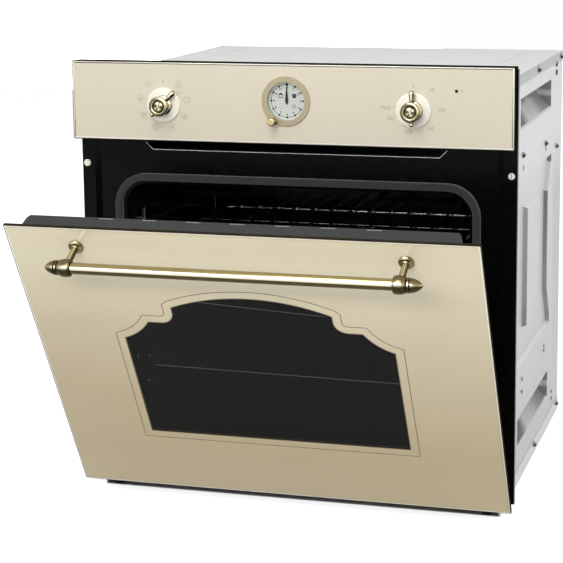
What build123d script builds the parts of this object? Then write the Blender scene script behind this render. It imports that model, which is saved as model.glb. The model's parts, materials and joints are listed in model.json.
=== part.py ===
from build123d import *
import math
import os

# Built-in oven, all sizes in millimetres.
# X runs to the right seen from the front, Y runs into the oven, Z is up.
# Depths are first measured from the front face of the glass. The finished pieces
# are moved so that the origin is the middle of the base plate.

# Overall sizes
front_width = 595.0
front_height = 595.0
chassis_side = 19.5
chassis_drop = 24.0
chassis_rear = 560.0
sheet = 1.0
running_gap = 0.3
shaft_clearance = 0.05
seat_clearance = 0.1

# Front frame
frame_reveal = 0.5
frame_bottom = 20.0
frame_top_drop = 5.0
frame_face = 30.0
rim_face = 27.0
rim_width = 18.0
rim_slope = 8.0
frame_lip = 8.0
fixing_inset = 7.5
fixing_drop = 141.0
fixing_hole = 5.0
fixing_shank = 4.0
fixing_shank_length = 22.0
fixing_neck = 4.8
fixing_neck_length = 1.2
fixing_point = 4.0
fixing_head = 8.6
fixing_head_height = 2.2
fixing_cap = 9.4
fixing_cap_height = 1.2

# Control panel
fascia_height = 105.0
glass_thickness = 4.0
print_thickness = 0.3
glass_bevel = 1.2
glass_corner = 2.0
backing_inset = 1.0
backing_wall = 1.2
knob_spacing = 336.0
knob_rise = 48.0
control_hole = 11.0
frame_window_side = 35.0
frame_window_sill = 10.0
frame_window_head = 12.0

# Door
door_gap = 4.5
door_bottom = 26.0
door_depth = 22.0
hinge_setback = 3.0
hinge_rise = 4.0
rest_opening = 30.0
inner_glass_side = 11.0
inner_glass_rise = 25.0
inner_glass_drop = 26.5
middle_glass_side = 22.0
middle_glass_inset = 5.0
middle_glass_depth = 10.0
pane_thickness = 3.2
rail_beyond_hinge = 13.0
side_rail_width = 38.0
top_rail_height = 45.0
top_rail_drop = 0.6
rail_slot_count = 7
rail_slot_pitch = 56.0
rail_slot_length = 18.0
rail_slot_height = 2.4
rail_slot_depth = 12.0
rail_end_chamfer = 5.0

# Door window, a stepped arch printed on the outer glass
window_side = 121.5
window_bottom = 109.0
window_shoulder_drop = 180.5
window_step_inset = 37.0
window_step_drop = 151.0
window_notch_inset = 72.6
window_notch_radius = 17.6
window_notch_drop = 125.0
window_arch_inset = 75.0
window_arch_drop = 123.5
window_crown_drop = 102.7

# Handle
handle_drop = 30.0
handle_spacing = 414.0
handle_standoff = 39.5
handle_bar_diameter = 14.0
handle_barrel_diameter = 22.5
handle_barrel_length = 16.0
handle_ring_diameter = 18.4
handle_groove_diameter = 14.8
handle_groove_width = 1.5
handle_ring_width = 2.2
handle_tip_length = 14.5
handle_spigot_diameter = 9.0
handle_spigot_length = 5.0
handle_post_diameter = 8.4
rosette_diameter = 19.4
rosette_height = 4.0
handle_screw_shank = 4.0
handle_screw_head = 8.0
handle_screw_head_height = 3.0
handle_screw_length = 20.0

# Hinges
hinge_inset = 18.0
hinge_pin = 6.0
hinge_boss = 13.0
hinge_arm_thickness = 6.0
hinge_arm_length = 140.0
hinge_arm_depth = 9.0
hinge_arm_face = 8.5
hinge_ear = 2.0
hinge_side_gap = 0.5
cassette_length = 118.0
cassette_height = 42.0
cassette_bottom = 23.0

# Cavity
cavity_side = 42.0
cavity_bottom = 74.0
cavity_drop = 62.0
cavity_rear_inset = 120.0
cavity_corner = 30.0
gasket_width = 10.0
gasket_lap = 4.0
gasket_gap = 0.4
insulation_side = 13.0
insulation_top = 26.0
insulation_bottom = 22.0
insulation_rear = 25.0
insulation_front = 45.0
deck_rise = 28.0

# Racks, shelf and tray
rack_upright = 5.0
rack_wire = 4.5
rack_upright_inset = 5.5
rack_front = 78.0
rack_back_inset = 62.0
rack_bottom_rise = 18.0
rack_top_drop = 42.0
rack_first_rise = 29.5
rack_span_margin = 91.5
rack_wire_count = 8
rack_wire_overhang = 16.0
rack_hook_inset = 15.0
shelf_wire_level = 6
shelf_front = 58.0
shelf_back_inset = 34.0
shelf_frame_wire = 6.0
shelf_side_gap = 0.5
shelf_bar_wire = 3.4
shelf_bar_margin = 32.5
shelf_cross_wire = 5.0
shelf_corner = 18.0
shelf_bar_seat = 1.0
shelf_bar_count = 14
tray_wire_level = 3
tray_front = 60.0
tray_back_inset = 36.0
tray_depth = 28.0
tray_sheet = 1.2
tray_rim = 13.0
tray_corner = 22.0

# Heaters, fan and lamp
heater_tube = 6.5
grill_drop = 20.0
grill_front = 90.0
grill_cross_inset = 95.0
grill_turn_inset = 40.0
grill_side = 41.0
grill_inner_half = 98.0
grill_leg_half = 26.0
grill_hanger_width = 10.0
grill_bend = 22.0
floor_heater_side = 56.0
floor_heater_groove = 18.25
floor_heater_front = 110.0
floor_heater_back_inset = 60.0
fan_below_middle = 1.0
fan_diameter = 140.0
fan_front_inset = 22.0
fan_depth = 14.0
fan_blades = 12
fan_shaft = 6.0
fan_hub = 22.0
fan_sheet = 1.2
fan_hub_setback = 2.0
fan_blade_root = 24.0
fan_blade_twist = 22.0
ring_heater_radius = 84.0
ring_heater_inset = 12.0
ring_heater_gap_angle = 24.0
baffle_side = 86.0
baffle_rise = 56.0
baffle_drop = 48.0
baffle_face_inset = 28.0
baffle_corner = 24.0
baffle_slot_height = 5.0
baffle_slot_pitch = 12.0
baffle_slot_rows = 11
baffle_slot_radius = 62.0
motor_diameter = 72.0
motor_length = 38.0
motor_bracket_half = 56.0
motor_bracket_rise = 16.0
motor_bracket_sheet = 1.5
stator_half_width = 24.0
stator_front = 8.0
stator_rear = 26.0
stator_low = 48.0
stator_high = 30.0
lamp_side = 44.0
lamp_drop = 56.0
lamp_lens_diameter = 44.0
lamp_holder_diameter = 32.0
lamp_lens_depth = 16.0
lamp_holder_length = 44.0
bulb_diameter = 15.0
probe_side = 36.0
probe_front = 130.0
probe_rise_y = 232.0
probe_drop = 10.0
probe_bulb = 5.0
capillary = 1.8
capillary_rise = 30.0

# Timer
timer_rise = 56.3
timer_ring_diameter = 65.0
timer_bore = 50.0
timer_ring_proud = 2.2
timer_tube_wall = 1.5
timer_glass_recess = 1.6
timer_glass_thickness = 1.5
timer_dial_depth = 7.0
timer_dial_thickness = 1.0
timer_hand_gap = 1.6
timer_hand_thickness = 0.8
timer_hand_length = 19.0
timer_hand_width = 3.6
timer_arbor = 2.0
timer_knob_offset = 30.2
timer_knob_angle = 212.0
timer_knob_diameter = 10.6
timer_knob_reach = 17.0
timer_stem = 3.0
timer_body_width = 64.0
timer_body_below = 34.3
timer_body_above = 21.7
timer_body_depth = 30.0

# Knobs
skirt_diameter = 46.0
skirt_height = 4.0
hub_diameter = 26.0
hub_reach = 18.0
hub_waist = 20.0
hub_recess_diameter = 18.0
hub_recess_depth = 1.6
pointer_reach = 26.8
pointer_root = 4.6
pointer_tip = 7.4
pointer_depth = 11.5
pin_reach = 19.7
pin_ball = 5.8
pin_neck = 3.2
control_shaft = 6.0
function_pointer_angle = 45.0
switch_width = 40.0
switch_depth = 30.0
shaft_insertion = 12.0
pilot_inset = 74.3
pilot_rise = 73.8
pilot_lens = 4.0
pilot_body = 9.0

# Cooling fan and its duct
duct_drop = 16.0
duct_half_width = 196.0
duct_step = 10.0
duct_height = 15.0
duct_wall = 0.8
duct_rear = 150.0
blower_axis_y = 200.0
blower_drop = 57.0
blower_half_length = 110.0
blower_chamber = 33.0
blower_wall = 1.2
blower_rotor_radius = 28.0
blower_rotor_half_length = 100.0
blower_blades = 20
blower_blade_length = 9.0
blower_blade_thickness = 1.0
blower_shaft = 5.0
blower_motor_diameter = 54.0
blower_motor_length = 40.0

# Casing details
flange_height = 15.0
base_flange_height = 20.0
recess_depth = 6.0
recess_draft = 2.5
recess_front = 136.0
recess_rear_inset = 102.0
recess_bottom = 165.0
recess_drop = 147.0
recess_notch = 30.0
recess_notch_rise = 61.0
recess_notch_drop = 52.0
recess_corner_rise = 12.0
island_front = 240.0
island_rear_inset = 113.0
island_rise = 45.0
island_drop = 47.0
grip_front = 170.0
grip_rear_inset = 113.0
grip_height = 41.0
grip_depth = 24.0
grip_ledge = 17.0
upper_grip_drop = 76.0
lower_grip_bottom = 49.0
screw_head = 7.4
screw_head_height = 2.2
screw_shank = 3.4
screw_hole = 3.8
screw_length = 8.0
side_screw_offsets = [(370.0, 112.5), (164.0, 123.0), (52.5, 141.5)]
side_slot_offsets = [(60.0, 16.0), (60.0, 28.5), (365.0, 130.5), (160.0, 130.5)]
side_hole_offsets = [
    (358.0, 142.5), (358.0, 124.0), (155.0, 140.0), (155.0, 132.5), (70.5, 46.0), (70.5, 35.5),
]
flange_screw_offsets = [246.0, 22.0]
rear_screw_rises = [40.0, 210.0, 380.0]
rear_screw_drop = 31.0
rear_screw_inset = 8.0
rear_slot_rows = 6
rear_slot_pitch = 14.0
rear_slot_width = 60.0
rear_slot_height = 5.0
rear_slot_drop = 71.0
rear_slot_columns = [-60.0, 30.0, 120.0]
base_screw_drop = 6.0
base_slot_side = 108.0
base_slot_offsets = [450.0, 270.0, 90.0]
base_slot_length = 70.0
base_slot_width = 6.0
gland_inset = 73.0
gland_drop = 51.0
gland_hole = 20.0
gland_flange = 30.0
gland_bore = 9.0
terminal_width = 52.0
terminal_depth = 26.0
terminal_height = 34.0

# Sizes worked out from the ones above
half_front = front_width / 2
chassis_width = front_width - 2 * chassis_side
half_chassis = chassis_width / 2
chassis_height = front_height - chassis_drop
side_face = half_chassis - sheet
fascia_bottom = front_height - fascia_height
frame_width = front_width - 2 * frame_reveal
frame_top = front_height - frame_top_drop
rim_fold_outer = frame_width / 2 - rim_width
rim_fold_inner = rim_fold_outer - rim_slope
fixing_height = front_height - fixing_drop
frame_window_width = frame_width - 2 * frame_window_side
frame_window_bottom = fascia_bottom + frame_window_sill
frame_window_top = frame_top - frame_window_head
knob_height = fascia_bottom + knob_rise
timer_height = fascia_bottom + timer_rise
timer_body_bottom = timer_height - timer_body_below
timer_body_top = timer_height + timer_body_above
pilot_x = half_front - pilot_inset
pilot_z = fascia_bottom + pilot_rise
door_top = fascia_bottom - door_gap
door_height = door_top - door_bottom
hinge_spacing = chassis_width - 2 * hinge_inset
rail_outer_width = hinge_spacing + 2 * rail_beyond_hinge
rail_inner_width = rail_outer_width - 2 * side_rail_width
inner_glass_width = rail_outer_width - 2 * inner_glass_side
inner_glass_bottom = door_bottom + inner_glass_rise
inner_glass_top = door_top - inner_glass_drop
middle_glass_width = inner_glass_width - 2 * middle_glass_side
middle_glass_bottom = inner_glass_bottom + middle_glass_inset
middle_glass_top = inner_glass_top - middle_glass_inset
window_half_width = half_front - window_side
window_shoulder = door_height - window_shoulder_drop
window_step_x = window_half_width - window_step_inset
window_step_z = door_height - window_step_drop
window_notch_x = window_half_width - window_notch_inset
window_notch_top = door_height - window_notch_drop
window_arch_x = window_half_width - window_arch_inset
window_arch_z = door_height - window_arch_drop
window_crown = door_height - window_crown_drop
handle_height = door_height - handle_drop
panel_back = glass_thickness + backing_wall
timer_tube = timer_bore + 2 * timer_tube_wall
rail_face = glass_thickness + print_thickness
hinge_y = door_depth + hinge_setback
hinge_z = door_bottom + hinge_rise
frame_back = frame_face + sheet
rear_inner = chassis_rear - sheet
origin_depth = (frame_back + chassis_rear) / 2
cavity_width = chassis_width - 2 * cavity_side
cavity_top = fascia_bottom - cavity_drop
cavity_rear = chassis_rear - cavity_rear_inset
deck_height = cavity_top + deck_rise
cavity_mid = (cavity_bottom + cavity_top) / 2
cavity_height = cavity_top - cavity_bottom
knob_x = knob_spacing / 2
handle_x = handle_spacing / 2
hinge_x = hinge_spacing / 2
fixing_x = frame_width / 2 - fixing_inset
rack_back = cavity_rear - rack_back_inset
rack_bottom = cavity_bottom + rack_bottom_rise
rack_top = cavity_top - rack_top_drop
rack_first_wire = cavity_bottom + rack_first_rise
rack_pitch = (cavity_height - rack_span_margin) / (rack_wire_count - 1)
upright_x = cavity_width / 2 - rack_upright_inset
runner_x = upright_x - (rack_upright + rack_wire) / 2 + 0.5
shelf_rest = rack_first_wire + (shelf_wire_level * rack_pitch) + rack_wire / 2 + running_gap
tray_rest = rack_first_wire + (tray_wire_level * rack_pitch) + rack_wire / 2 + running_gap
shelf_half_width = upright_x - rack_upright / 2 - shelf_side_gap
shelf_bar_pitch = 2 * (shelf_half_width - shelf_bar_margin) / (shelf_bar_count - 1)
shelf_back = cavity_rear - shelf_back_inset
tray_back = cavity_rear - tray_back_inset
insulation_half = cavity_width / 2 + sheet + insulation_side
grill_height = cavity_top - grill_drop
grill_cross = cavity_rear - grill_cross_inset
grill_turn = cavity_rear - grill_turn_inset
grill_half_width = cavity_width / 2 - grill_side
floor_heater_half_width = cavity_width / 2 - floor_heater_side
floor_heater_back = cavity_rear - floor_heater_back_inset
fan_height = cavity_mid - fan_below_middle
fan_front = cavity_rear - fan_front_inset
ring_heater_depth = cavity_rear - ring_heater_inset
baffle_width = cavity_width - 2 * baffle_side
baffle_bottom = cavity_bottom + baffle_rise
baffle_top = cavity_top - baffle_drop
baffle_face = cavity_rear - baffle_face_inset
lamp_x = cavity_width / 2 - lamp_side
lamp_z = cavity_top - lamp_drop
probe_x = cavity_width / 2 - probe_side
probe_z = cavity_top - probe_drop
duct_bottom = fascia_bottom - duct_drop
capillary_height = duct_bottom + capillary_rise
blower_axis_z = chassis_height - blower_drop
recess_rear = chassis_rear - recess_rear_inset
recess_top = chassis_height - recess_drop
recess_notch_low = recess_bottom + recess_notch_rise
recess_notch_high = recess_top - recess_notch_drop
island_rear = recess_rear - island_rear_inset
island_bottom = recess_bottom + island_rise
island_top = recess_top - island_drop
grip_rear = chassis_rear - grip_rear_inset
upper_grip_bottom = chassis_height - upper_grip_drop
side_screws = [(chassis_rear - back, chassis_height - down) for back, down in side_screw_offsets]
side_slots = [(chassis_rear - back, chassis_height - down) for back, down in side_slot_offsets]
side_holes = [(chassis_rear - back, up) for back, up in side_hole_offsets]
flange_screw_depths = [chassis_rear - back for back in flange_screw_offsets]
rear_screw_heights = [*rear_screw_rises, chassis_height - rear_screw_drop]
gland_x = gland_inset - half_chassis
gland_z = chassis_height - gland_drop


# Small helpers

def block(x0, x1, y0, y1, z0, z1):
    """A box between two corners."""
    return Pos((x0 + x1) / 2, (y0 + y1) / 2, (z0 + z1) / 2) * Box(x1 - x0, y1 - y0, z1 - z0)


def facing(y):
    """A plane seen from the front: its own x is X and its own y is Z."""
    return Plane(origin=(0, y, 0), x_dir=(1, 0, 0), z_dir=(0, -1, 0))


def front_prism(sketch, y0, y1):
    """A front outline drawn in X and Z, made solid between two depths."""
    return extrude(facing(y0) * sketch, amount=y1 - y0, dir=(0, 1, 0))


def side_plane(x):
    """A plane seen from the right: its own x is Y and its own y is Z."""
    return Plane(origin=(x, 0, 0), x_dir=(0, 1, 0), z_dir=(1, 0, 0))


def side_prism(sketch, x0, x1):
    """A side outline drawn in Y and Z, made solid between two widths."""
    return extrude(side_plane(x0) * sketch, amount=x1 - x0, dir=(1, 0, 0))


def rod(start, end, diameter):
    """A straight round bar."""
    run = Vector(*end) - Vector(*start)
    base = Plane(origin=start, z_dir=run)
    return extrude(base * Circle(diameter / 2), amount=run.length)


def bent_rod(points, diameter, radius):
    """A round bar bent along straight runs."""
    path = FilletPolyline(*points, radius=radius)
    base = Plane(origin=path @ 0, z_dir=path % 0)
    return sweep(base * Circle(diameter / 2), path=path)


def turned(edges, origin, axis):
    """A turned piece: the edges are drawn as distance along the axis and radius."""
    profile = Plane(origin=origin, x_dir=axis, z_dir=(0, 0, 1)) * make_face(edges)
    return revolve(profile, Axis(origin, axis), 360)


def turned_steps(points, origin, axis):
    """A turned piece with a straight-sided profile."""
    return turned(Polyline(*points, close=True), origin, axis)


def rounded_box_sketch(width, z0, z1, corner):
    """A rounded front rectangle, centred across the oven."""
    return Pos(0, (z0 + z1) / 2) * RectangleRounded(width, z1 - z0, corner)


def both_sides(piece):
    """A piece and its mirror image across the middle of the oven."""
    return [piece, mirror(piece, about=Plane.YZ)]


def fuse(pieces):
    """One shape from several that touch."""
    return pieces[0].fuse(*pieces[1:])


# Casing

def pressed(outline, x_outer, depth, draft):
    """A drafted block pressed inward from the face at x_outer."""
    floor = offset(outline, amount=-draft, kind=Kind.INTERSECTION)
    return loft([side_plane(x_outer) * outline, side_plane(x_outer - depth) * floor], ruled=True)


def recess_outline():
    """The notched outline of the large pressed field in a side panel."""
    inner_front = recess_front + recess_notch
    inner_rear = recess_rear - recess_notch
    corners = [
        (recess_front, recess_bottom),
        (recess_rear, recess_bottom),
        (recess_rear, recess_bottom + recess_corner_rise),
        (inner_rear, recess_notch_low),
        (inner_rear, recess_notch_high),
        (recess_rear, recess_top - recess_corner_rise),
        (recess_rear, recess_top),
        (recess_front, recess_top),
        (recess_front, recess_top - recess_corner_rise),
        (inner_front, recess_notch_high),
        (inner_front, recess_notch_low),
        (recess_front, recess_bottom + recess_corner_rise),
    ]
    return make_face(Polyline(*corners, close=True))


def grip_section(bottom, grow):
    """The carry grip's section across the wall, with a sloping lower face."""
    top = bottom + grip_height
    back = side_face - grip_depth - grow
    points = [
        (side_face + 1.0, bottom - grow),
        (side_face + 1.0, top + grow),
        (back, top + grow),
        (back, top - grip_ledge - grow),
        (side_face, bottom - grow),
    ]
    section = Plane(origin=(0, grip_front - grow, 0), x_dir=(1, 0, 0), z_dir=(0, -1, 0))
    face = section * make_face(Polyline(*points, close=True))
    return extrude(face, amount=grip_rear - grip_front + 2 * grow, dir=(0, 1, 0))


def carry_pockets():
    """The four pressed pockets that hands take hold of, let into the side panels."""
    pockets = []
    for bottom in (upper_grip_bottom, lower_grip_bottom):
        shell = grip_section(bottom, sheet) & block(0, side_face, 0, chassis_rear, 0, chassis_height)
        pockets += both_sides(shell - grip_section(bottom, 0))
    return pockets


def side_panel():
    """The right side panel, with its pressed field, openings for the carry pockets, slots and holes."""
    panel = block(side_face - sheet, side_face, frame_back, rear_inner, sheet, chassis_height - sheet)
    front_flange = block(side_face - flange_height, side_face, frame_back, frame_back + sheet,
                         cassette_bottom + cassette_height + 4, chassis_height - sheet)
    outline = recess_outline()
    island = Pos((island_front + island_rear) / 2, (island_bottom + island_top) / 2) * Rectangle(
        island_rear - island_front, island_top - island_bottom)
    field_out = pressed(offset(outline, amount=sheet, kind=Kind.INTERSECTION),
                        side_face, recess_depth + sheet, recess_draft)
    field_in = pressed(outline, side_face, recess_depth, recess_draft)
    island_foot = offset(island, amount=recess_draft, kind=Kind.INTERSECTION)
    island_top_face = side_plane(side_face) * island
    island_out = loft([island_top_face, side_plane(side_face - recess_depth) * island_foot], ruled=True)
    shrink = Pos(-sheet, 0, 0)
    core = offset(island, amount=-sheet, kind=Kind.INTERSECTION)
    core_foot = offset(island_foot, amount=-sheet, kind=Kind.INTERSECTION)
    island_in = shrink * loft([side_plane(side_face) * core,
                               side_plane(side_face - recess_depth) * core_foot], ruled=True)
    panel = panel + front_flange + (field_out - island_in)
    panel = panel - (field_in - island_out)
    for bottom in (upper_grip_bottom, lower_grip_bottom):
        panel -= grip_section(bottom, sheet)
    for y, z in side_slots:
        panel -= block(side_face - 3, side_face + 3, y - 1.2, y + 1.2, z - 4, z + 4)
    for y, z in side_holes:
        panel -= rod((side_face - 3, y, z), (side_face + 3, y, z), 3.0)
    for y, z in side_screws:
        panel -= rod((side_face - 3, y, z), (side_face + 3, y, z), screw_hole)
    for y, z in flange_screws():
        panel -= rod((side_face - 3, y, z), (side_face + 3, y, z), screw_hole)
    return panel


def flange_screws():
    """Where the top cover and the base plate are screwed to a side panel."""
    top_row = chassis_height - flange_height / 2
    base_row = base_flange_height - 6.0
    return [(y, z) for y in flange_screw_depths for z in (top_row, base_row)]


def top_cover():
    """The lid of the casing, with a flange down each side and two pressed creases."""
    x = half_chassis
    lid = block(-x, x, frame_back, chassis_rear, chassis_height - sheet, chassis_height)
    for sign in (-1, 1):
        flange_x = sorted((sign * x, sign * (x - sheet)))
        lid += block(*flange_x, frame_back, chassis_rear, chassis_height - flange_height, chassis_height)
        crease = sorted((sign * 225.0, sign * 223.6))
        lid -= block(*crease, frame_back + 15, rear_inner - 15, chassis_height - 0.5, chassis_height + 1)
    top_row = chassis_height - flange_height / 2
    for y in flange_screw_depths:
        lid -= rod((-x - 2, y, top_row), (x + 2, y, top_row), screw_hole)
    return lid


def base_plate():
    """The floor of the casing, on which the oven rests."""
    x = half_chassis
    floor = block(-x, x, frame_back, chassis_rear, 0, sheet)
    for sign in (-1, 1):
        flange_x = sorted((sign * x, sign * (x - sheet)))
        floor += block(*flange_x, frame_back, chassis_rear, 0, base_flange_height)
    for y in flange_screw_depths:
        row = base_flange_height - base_screw_drop
        floor -= rod((-x - 2, y, row), (x + 2, y, row), screw_hole)
    for sign in (-1, 1):
        for back in base_slot_offsets:
            place = Pos(sign * (half_chassis - base_slot_side), chassis_rear - back, 0)
            floor -= place * Box(base_slot_length, base_slot_width, 4 * sheet)
    return floor


def rear_screws():
    """Where the rear panel is screwed on, as X and Z."""
    x = side_face - rear_screw_inset
    return [(sign * x, z) for sign in (-1, 1) for z in rear_screw_heights]


def rear_panel():
    """The back of the casing, with air slots and the cable outlet."""
    back = block(-side_face, side_face, rear_inner, chassis_rear, sheet, chassis_height - sheet)
    for row in range(rear_slot_rows):
        middle = chassis_height - rear_slot_drop
        z = middle + (row - (rear_slot_rows - 1) / 2) * rear_slot_pitch
        for x in rear_slot_columns:
            slot = Pos(x, z) * SlotOverall(rear_slot_width, rear_slot_height)
            back -= front_prism(slot, rear_inner - 1, chassis_rear + 1)
    back -= rod((gland_x, rear_inner - 1, gland_z), (gland_x, chassis_rear + 1, gland_z), gland_hole)
    for x, z in rear_screws():
        back -= rod((x, rear_inner - 1, z), (x, chassis_rear + 1, z), screw_hole)
    return back


def rear_flanges():
    """Inward flanges at the back of the side panels, which take the rear panel's screws."""
    x0 = side_face - 2 * rear_screw_inset
    flange = block(x0, side_face - sheet / 2, rear_inner - sheet, rear_inner, sheet, chassis_height - sheet)
    for x, z in rear_screws():
        flange -= rod((x, rear_inner - 3, z), (x, rear_inner + 3, z), screw_hole)
    return flange


def front_frame():
    """The black frame round the cavity mouth, folded forward at its two sides."""
    x = frame_width / 2
    face = [
        (-x, rim_face),
        (-rim_fold_outer, rim_face),
        (-rim_fold_inner, frame_face),
        (rim_fold_inner, frame_face),
        (rim_fold_outer, rim_face),
        (x, rim_face),
    ]
    back = [(px, py + sheet) for px, py in reversed(face)]
    section = make_face(Polyline(*face, *back, close=True))
    frame = extrude(Pos(0, 0, frame_bottom) * section, amount=frame_top - frame_bottom)
    for sign in (-1, 1):
        lip = sorted((sign * x, sign * (x - sheet)))
        frame += block(*lip, rim_face, rim_face + frame_lip, frame_bottom, frame_top)
    mouth = rounded_box_sketch(cavity_width, cavity_bottom, cavity_top, cavity_corner)
    frame -= front_prism(mouth, rim_face - 1, frame_back + 1)
    controls = frame_window_width / 2
    frame -= block(-controls, controls, rim_face - 1, frame_back + 1, frame_window_bottom, frame_window_top)
    frame -= front_prism(duct_outline(seat_clearance), rim_face - 1, frame_back + 1)
    slot_half = hinge_arm_thickness / 2 + hinge_side_gap + hinge_ear + seat_clearance
    for sign in (-1, 1):
        frame -= block(sign * hinge_x - slot_half, sign * hinge_x + slot_half, rim_face - 1, frame_back + 1,
                       cassette_bottom, cassette_bottom + cassette_height)
        hole = sign * fixing_x
        frame -= rod((hole, rim_face - 1, fixing_height), (hole, frame_back + 1, fixing_height), fixing_hole)
    return frame


def casing_screws():
    """The small pan-head screws that hold the casing together."""
    screws = []
    under = screw_length - screw_head_height
    for y, z in side_screws:
        screws += both_sides(pan_screw((side_face, y, z), (1, 0, 0), under))
    for y, z in flange_screws():
        screws += both_sides(pan_screw((half_chassis, y, z), (1, 0, 0), under))
    for x, z in rear_screws():
        screws.append(pan_screw((x, chassis_rear, z), (0, 1, 0), under))
    return screws


def pan_screw(seat, out, under):
    """A pan-head screw whose head rests on the seat and points outward."""
    head, shank = screw_head / 2, screw_shank / 2
    edges = [
        Line((-under, 0), (-under, shank)),
        Line((-under, shank), (0, shank)),
        Line((0, shank), (0, head)),
        Line((0, head), (0.8, head)),
        ThreePointArc((0.8, head), (screw_head_height - 0.4, head * 0.72), (screw_head_height, 0.6)),
        Line((screw_head_height, 0.6), (screw_head_height, 0)),
        Line((screw_head_height, 0), (-under, 0)),
    ]
    return turned(edges, seat, out)


def fixing_screws():
    """The two screws that hold the oven in its niche, through the front frame."""
    screws = []
    for sign in (-1, 1):
        head, shank = fixing_head / 2, fixing_shank / 2
        points = [
            (-fixing_head_height, 0),
            (-fixing_head_height, head - 0.8),
            (-fixing_head_height + 0.8, head),
            (0, head),
            (0, fixing_neck / 2),
            (fixing_neck_length, fixing_neck / 2),
            (fixing_neck_length, shank),
            (fixing_shank_length - fixing_point, shank),
            (fixing_shank_length, 0),
        ]
        screw = turned_steps(points, (sign * fixing_x, rim_face, fixing_height), (0, 1, 0))
        if sign > 0:
            screw -= Pos(sign * fixing_x, rim_face - fixing_head_height, fixing_height) * Box(
                fixing_head + 1, 1.2, 1.2)
        screws.append(screw)
    return screws


def fixing_screw_cap():
    """The plastic cap pushed over the left fixing screw."""
    outer, inner = fixing_cap / 2, fixing_head / 2
    front = -fixing_head_height - fixing_cap_height
    points = [
        (front, 0),
        (front, outer - 1.0),
        (front + 1.0, outer),
        (-0.2, outer),
        (-0.2, inner),
        (-fixing_head_height, inner),
        (-fixing_head_height, 0),
    ]
    return turned_steps(points, (-fixing_x, rim_face, fixing_height), (0, 1, 0))


# Control panel

def pane(width, z0, z1, y0, y1, corner, bevel):
    """A flat glass pane with small round corners and a bevelled front edge."""
    glass = front_prism(rounded_box_sketch(width, z0, z1, corner), y0, y1)
    front = glass.faces().sort_by(Axis.Y)[0]
    return chamfer(front.edges(), bevel) if bevel else glass


def timer_knob_place():
    """Where the timer's setting knob stands on the panel, as X and Z."""
    turn = math.radians(timer_knob_angle)
    return timer_knob_offset * math.sin(turn), timer_height + timer_knob_offset * math.cos(turn)


def control_openings(y0, y1, shaft_hole, timer_hole, stem_hole, lamp_hole):
    """Everything that is cut through a layer of the control panel."""
    cuts = [rod((sign * knob_x, y0, knob_height), (sign * knob_x, y1, knob_height), shaft_hole)
            for sign in (-1, 1)]
    stem_x, stem_z = timer_knob_place()
    cuts.append(rod((0, y0, timer_height), (0, y1, timer_height), timer_hole))
    cuts.append(rod((stem_x, y0, stem_z), (stem_x, y1, stem_z), stem_hole))
    cuts.append(rod((pilot_x, y0, pilot_z), (pilot_x, y1, pilot_z), lamp_hole))
    return cuts


def cut_all(piece, cuts):
    """A piece without each of the cuts."""
    for cut in cuts:
        piece = piece - cut
    return piece


def fascia_glass():
    """The glass of the control panel."""
    glass = pane(front_width, fascia_bottom, front_height, 0, glass_thickness, glass_corner, glass_bevel)
    cuts = control_openings(-1, glass_thickness + 1, control_hole, timer_tube + 2 * seat_clearance,
                            timer_stem + 1, pilot_lens + 2 * seat_clearance)
    return cut_all(glass, cuts)


def fascia_backing():
    """The metal housing behind the control panel's glass, which carries the controls."""
    x = half_front - backing_inset
    z0, z1 = fascia_bottom + backing_inset, front_height - backing_inset
    box = block(-x, x, glass_thickness, rim_face, z0, z1)
    wall = backing_wall
    box -= block(-x + wall, x - wall, panel_back, rim_face + 1, z0 + wall, z1 - wall)
    cuts = control_openings(glass_thickness - 1, panel_back + 1, control_hole,
                            timer_tube + 2 * seat_clearance, timer_stem + 1, pilot_lens + 2 * seat_clearance)
    return cut_all(box, cuts)


def pilot_lamp():
    """The small pilot lamp: its lens in the glass and its body behind the housing."""
    lens = pilot_lens / 2
    back = panel_back
    points = [
        (-0.5, 0),
        (-0.5, lens - 0.6),
        (0.1, lens),
        (back, lens),
        (back, pilot_body / 2),
        (back + 14, pilot_body / 2),
        (back + 14, 0),
    ]
    return turned_steps(points, (pilot_x, 0, pilot_z), (0, 1, 0))


def switch_body(x):
    """A switch or thermostat body behind the panel, bored for its shaft."""
    back = panel_back
    half = switch_width / 2
    body = block(x - half, x + half, back, back + switch_depth, knob_height - half, knob_height + half)
    body = chamfer(body.edges().filter_by(Axis.Y), 4)
    terminals = [block(x + dx - 1.5, x + dx + 1.5, back + switch_depth, back + switch_depth + 8,
                       knob_height + dz - 3, knob_height + dz + 3) for dx in (-12, 0, 12) for dz in (-10, 10)]
    body = fuse([body, *terminals])
    bore = control_shaft + 2 * shaft_clearance
    return body - rod((x, back - 1, knob_height), (x, back + shaft_insertion, knob_height), bore)


# Timer

def timer_bezel():
    """The flat ring round the timer, with the tube that passes through the glass."""
    outer, bore = timer_ring_diameter / 2, timer_bore / 2
    tube = timer_tube / 2
    dial = timer_dial_depth - timer_ring_proud
    points = [
        (-timer_ring_proud, bore),
        (-timer_ring_proud, outer - 0.8),
        (-timer_ring_proud + 0.8, outer),
        (0, outer),
        (0, tube),
        (dial, tube),
        (dial, bore),
    ]
    ring = turned_steps(points, (0, 0, timer_height), (0, 1, 0))
    stem_x, stem_z = timer_knob_place()
    hole = timer_stem + 2 * shaft_clearance
    return ring - rod((stem_x, -timer_ring_proud - 1, stem_z), (stem_x, 1, stem_z), hole)


def timer_dial():
    """The white dial plate at the bottom of the bezel."""
    face = timer_dial_depth - timer_ring_proud
    plate = rod((0, face, timer_height), (0, face + timer_dial_thickness, timer_height), timer_tube)
    bore = timer_arbor + 2 * shaft_clearance
    return plate - rod((0, face - 1, timer_height), (0, face + 3, timer_height), bore)


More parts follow.
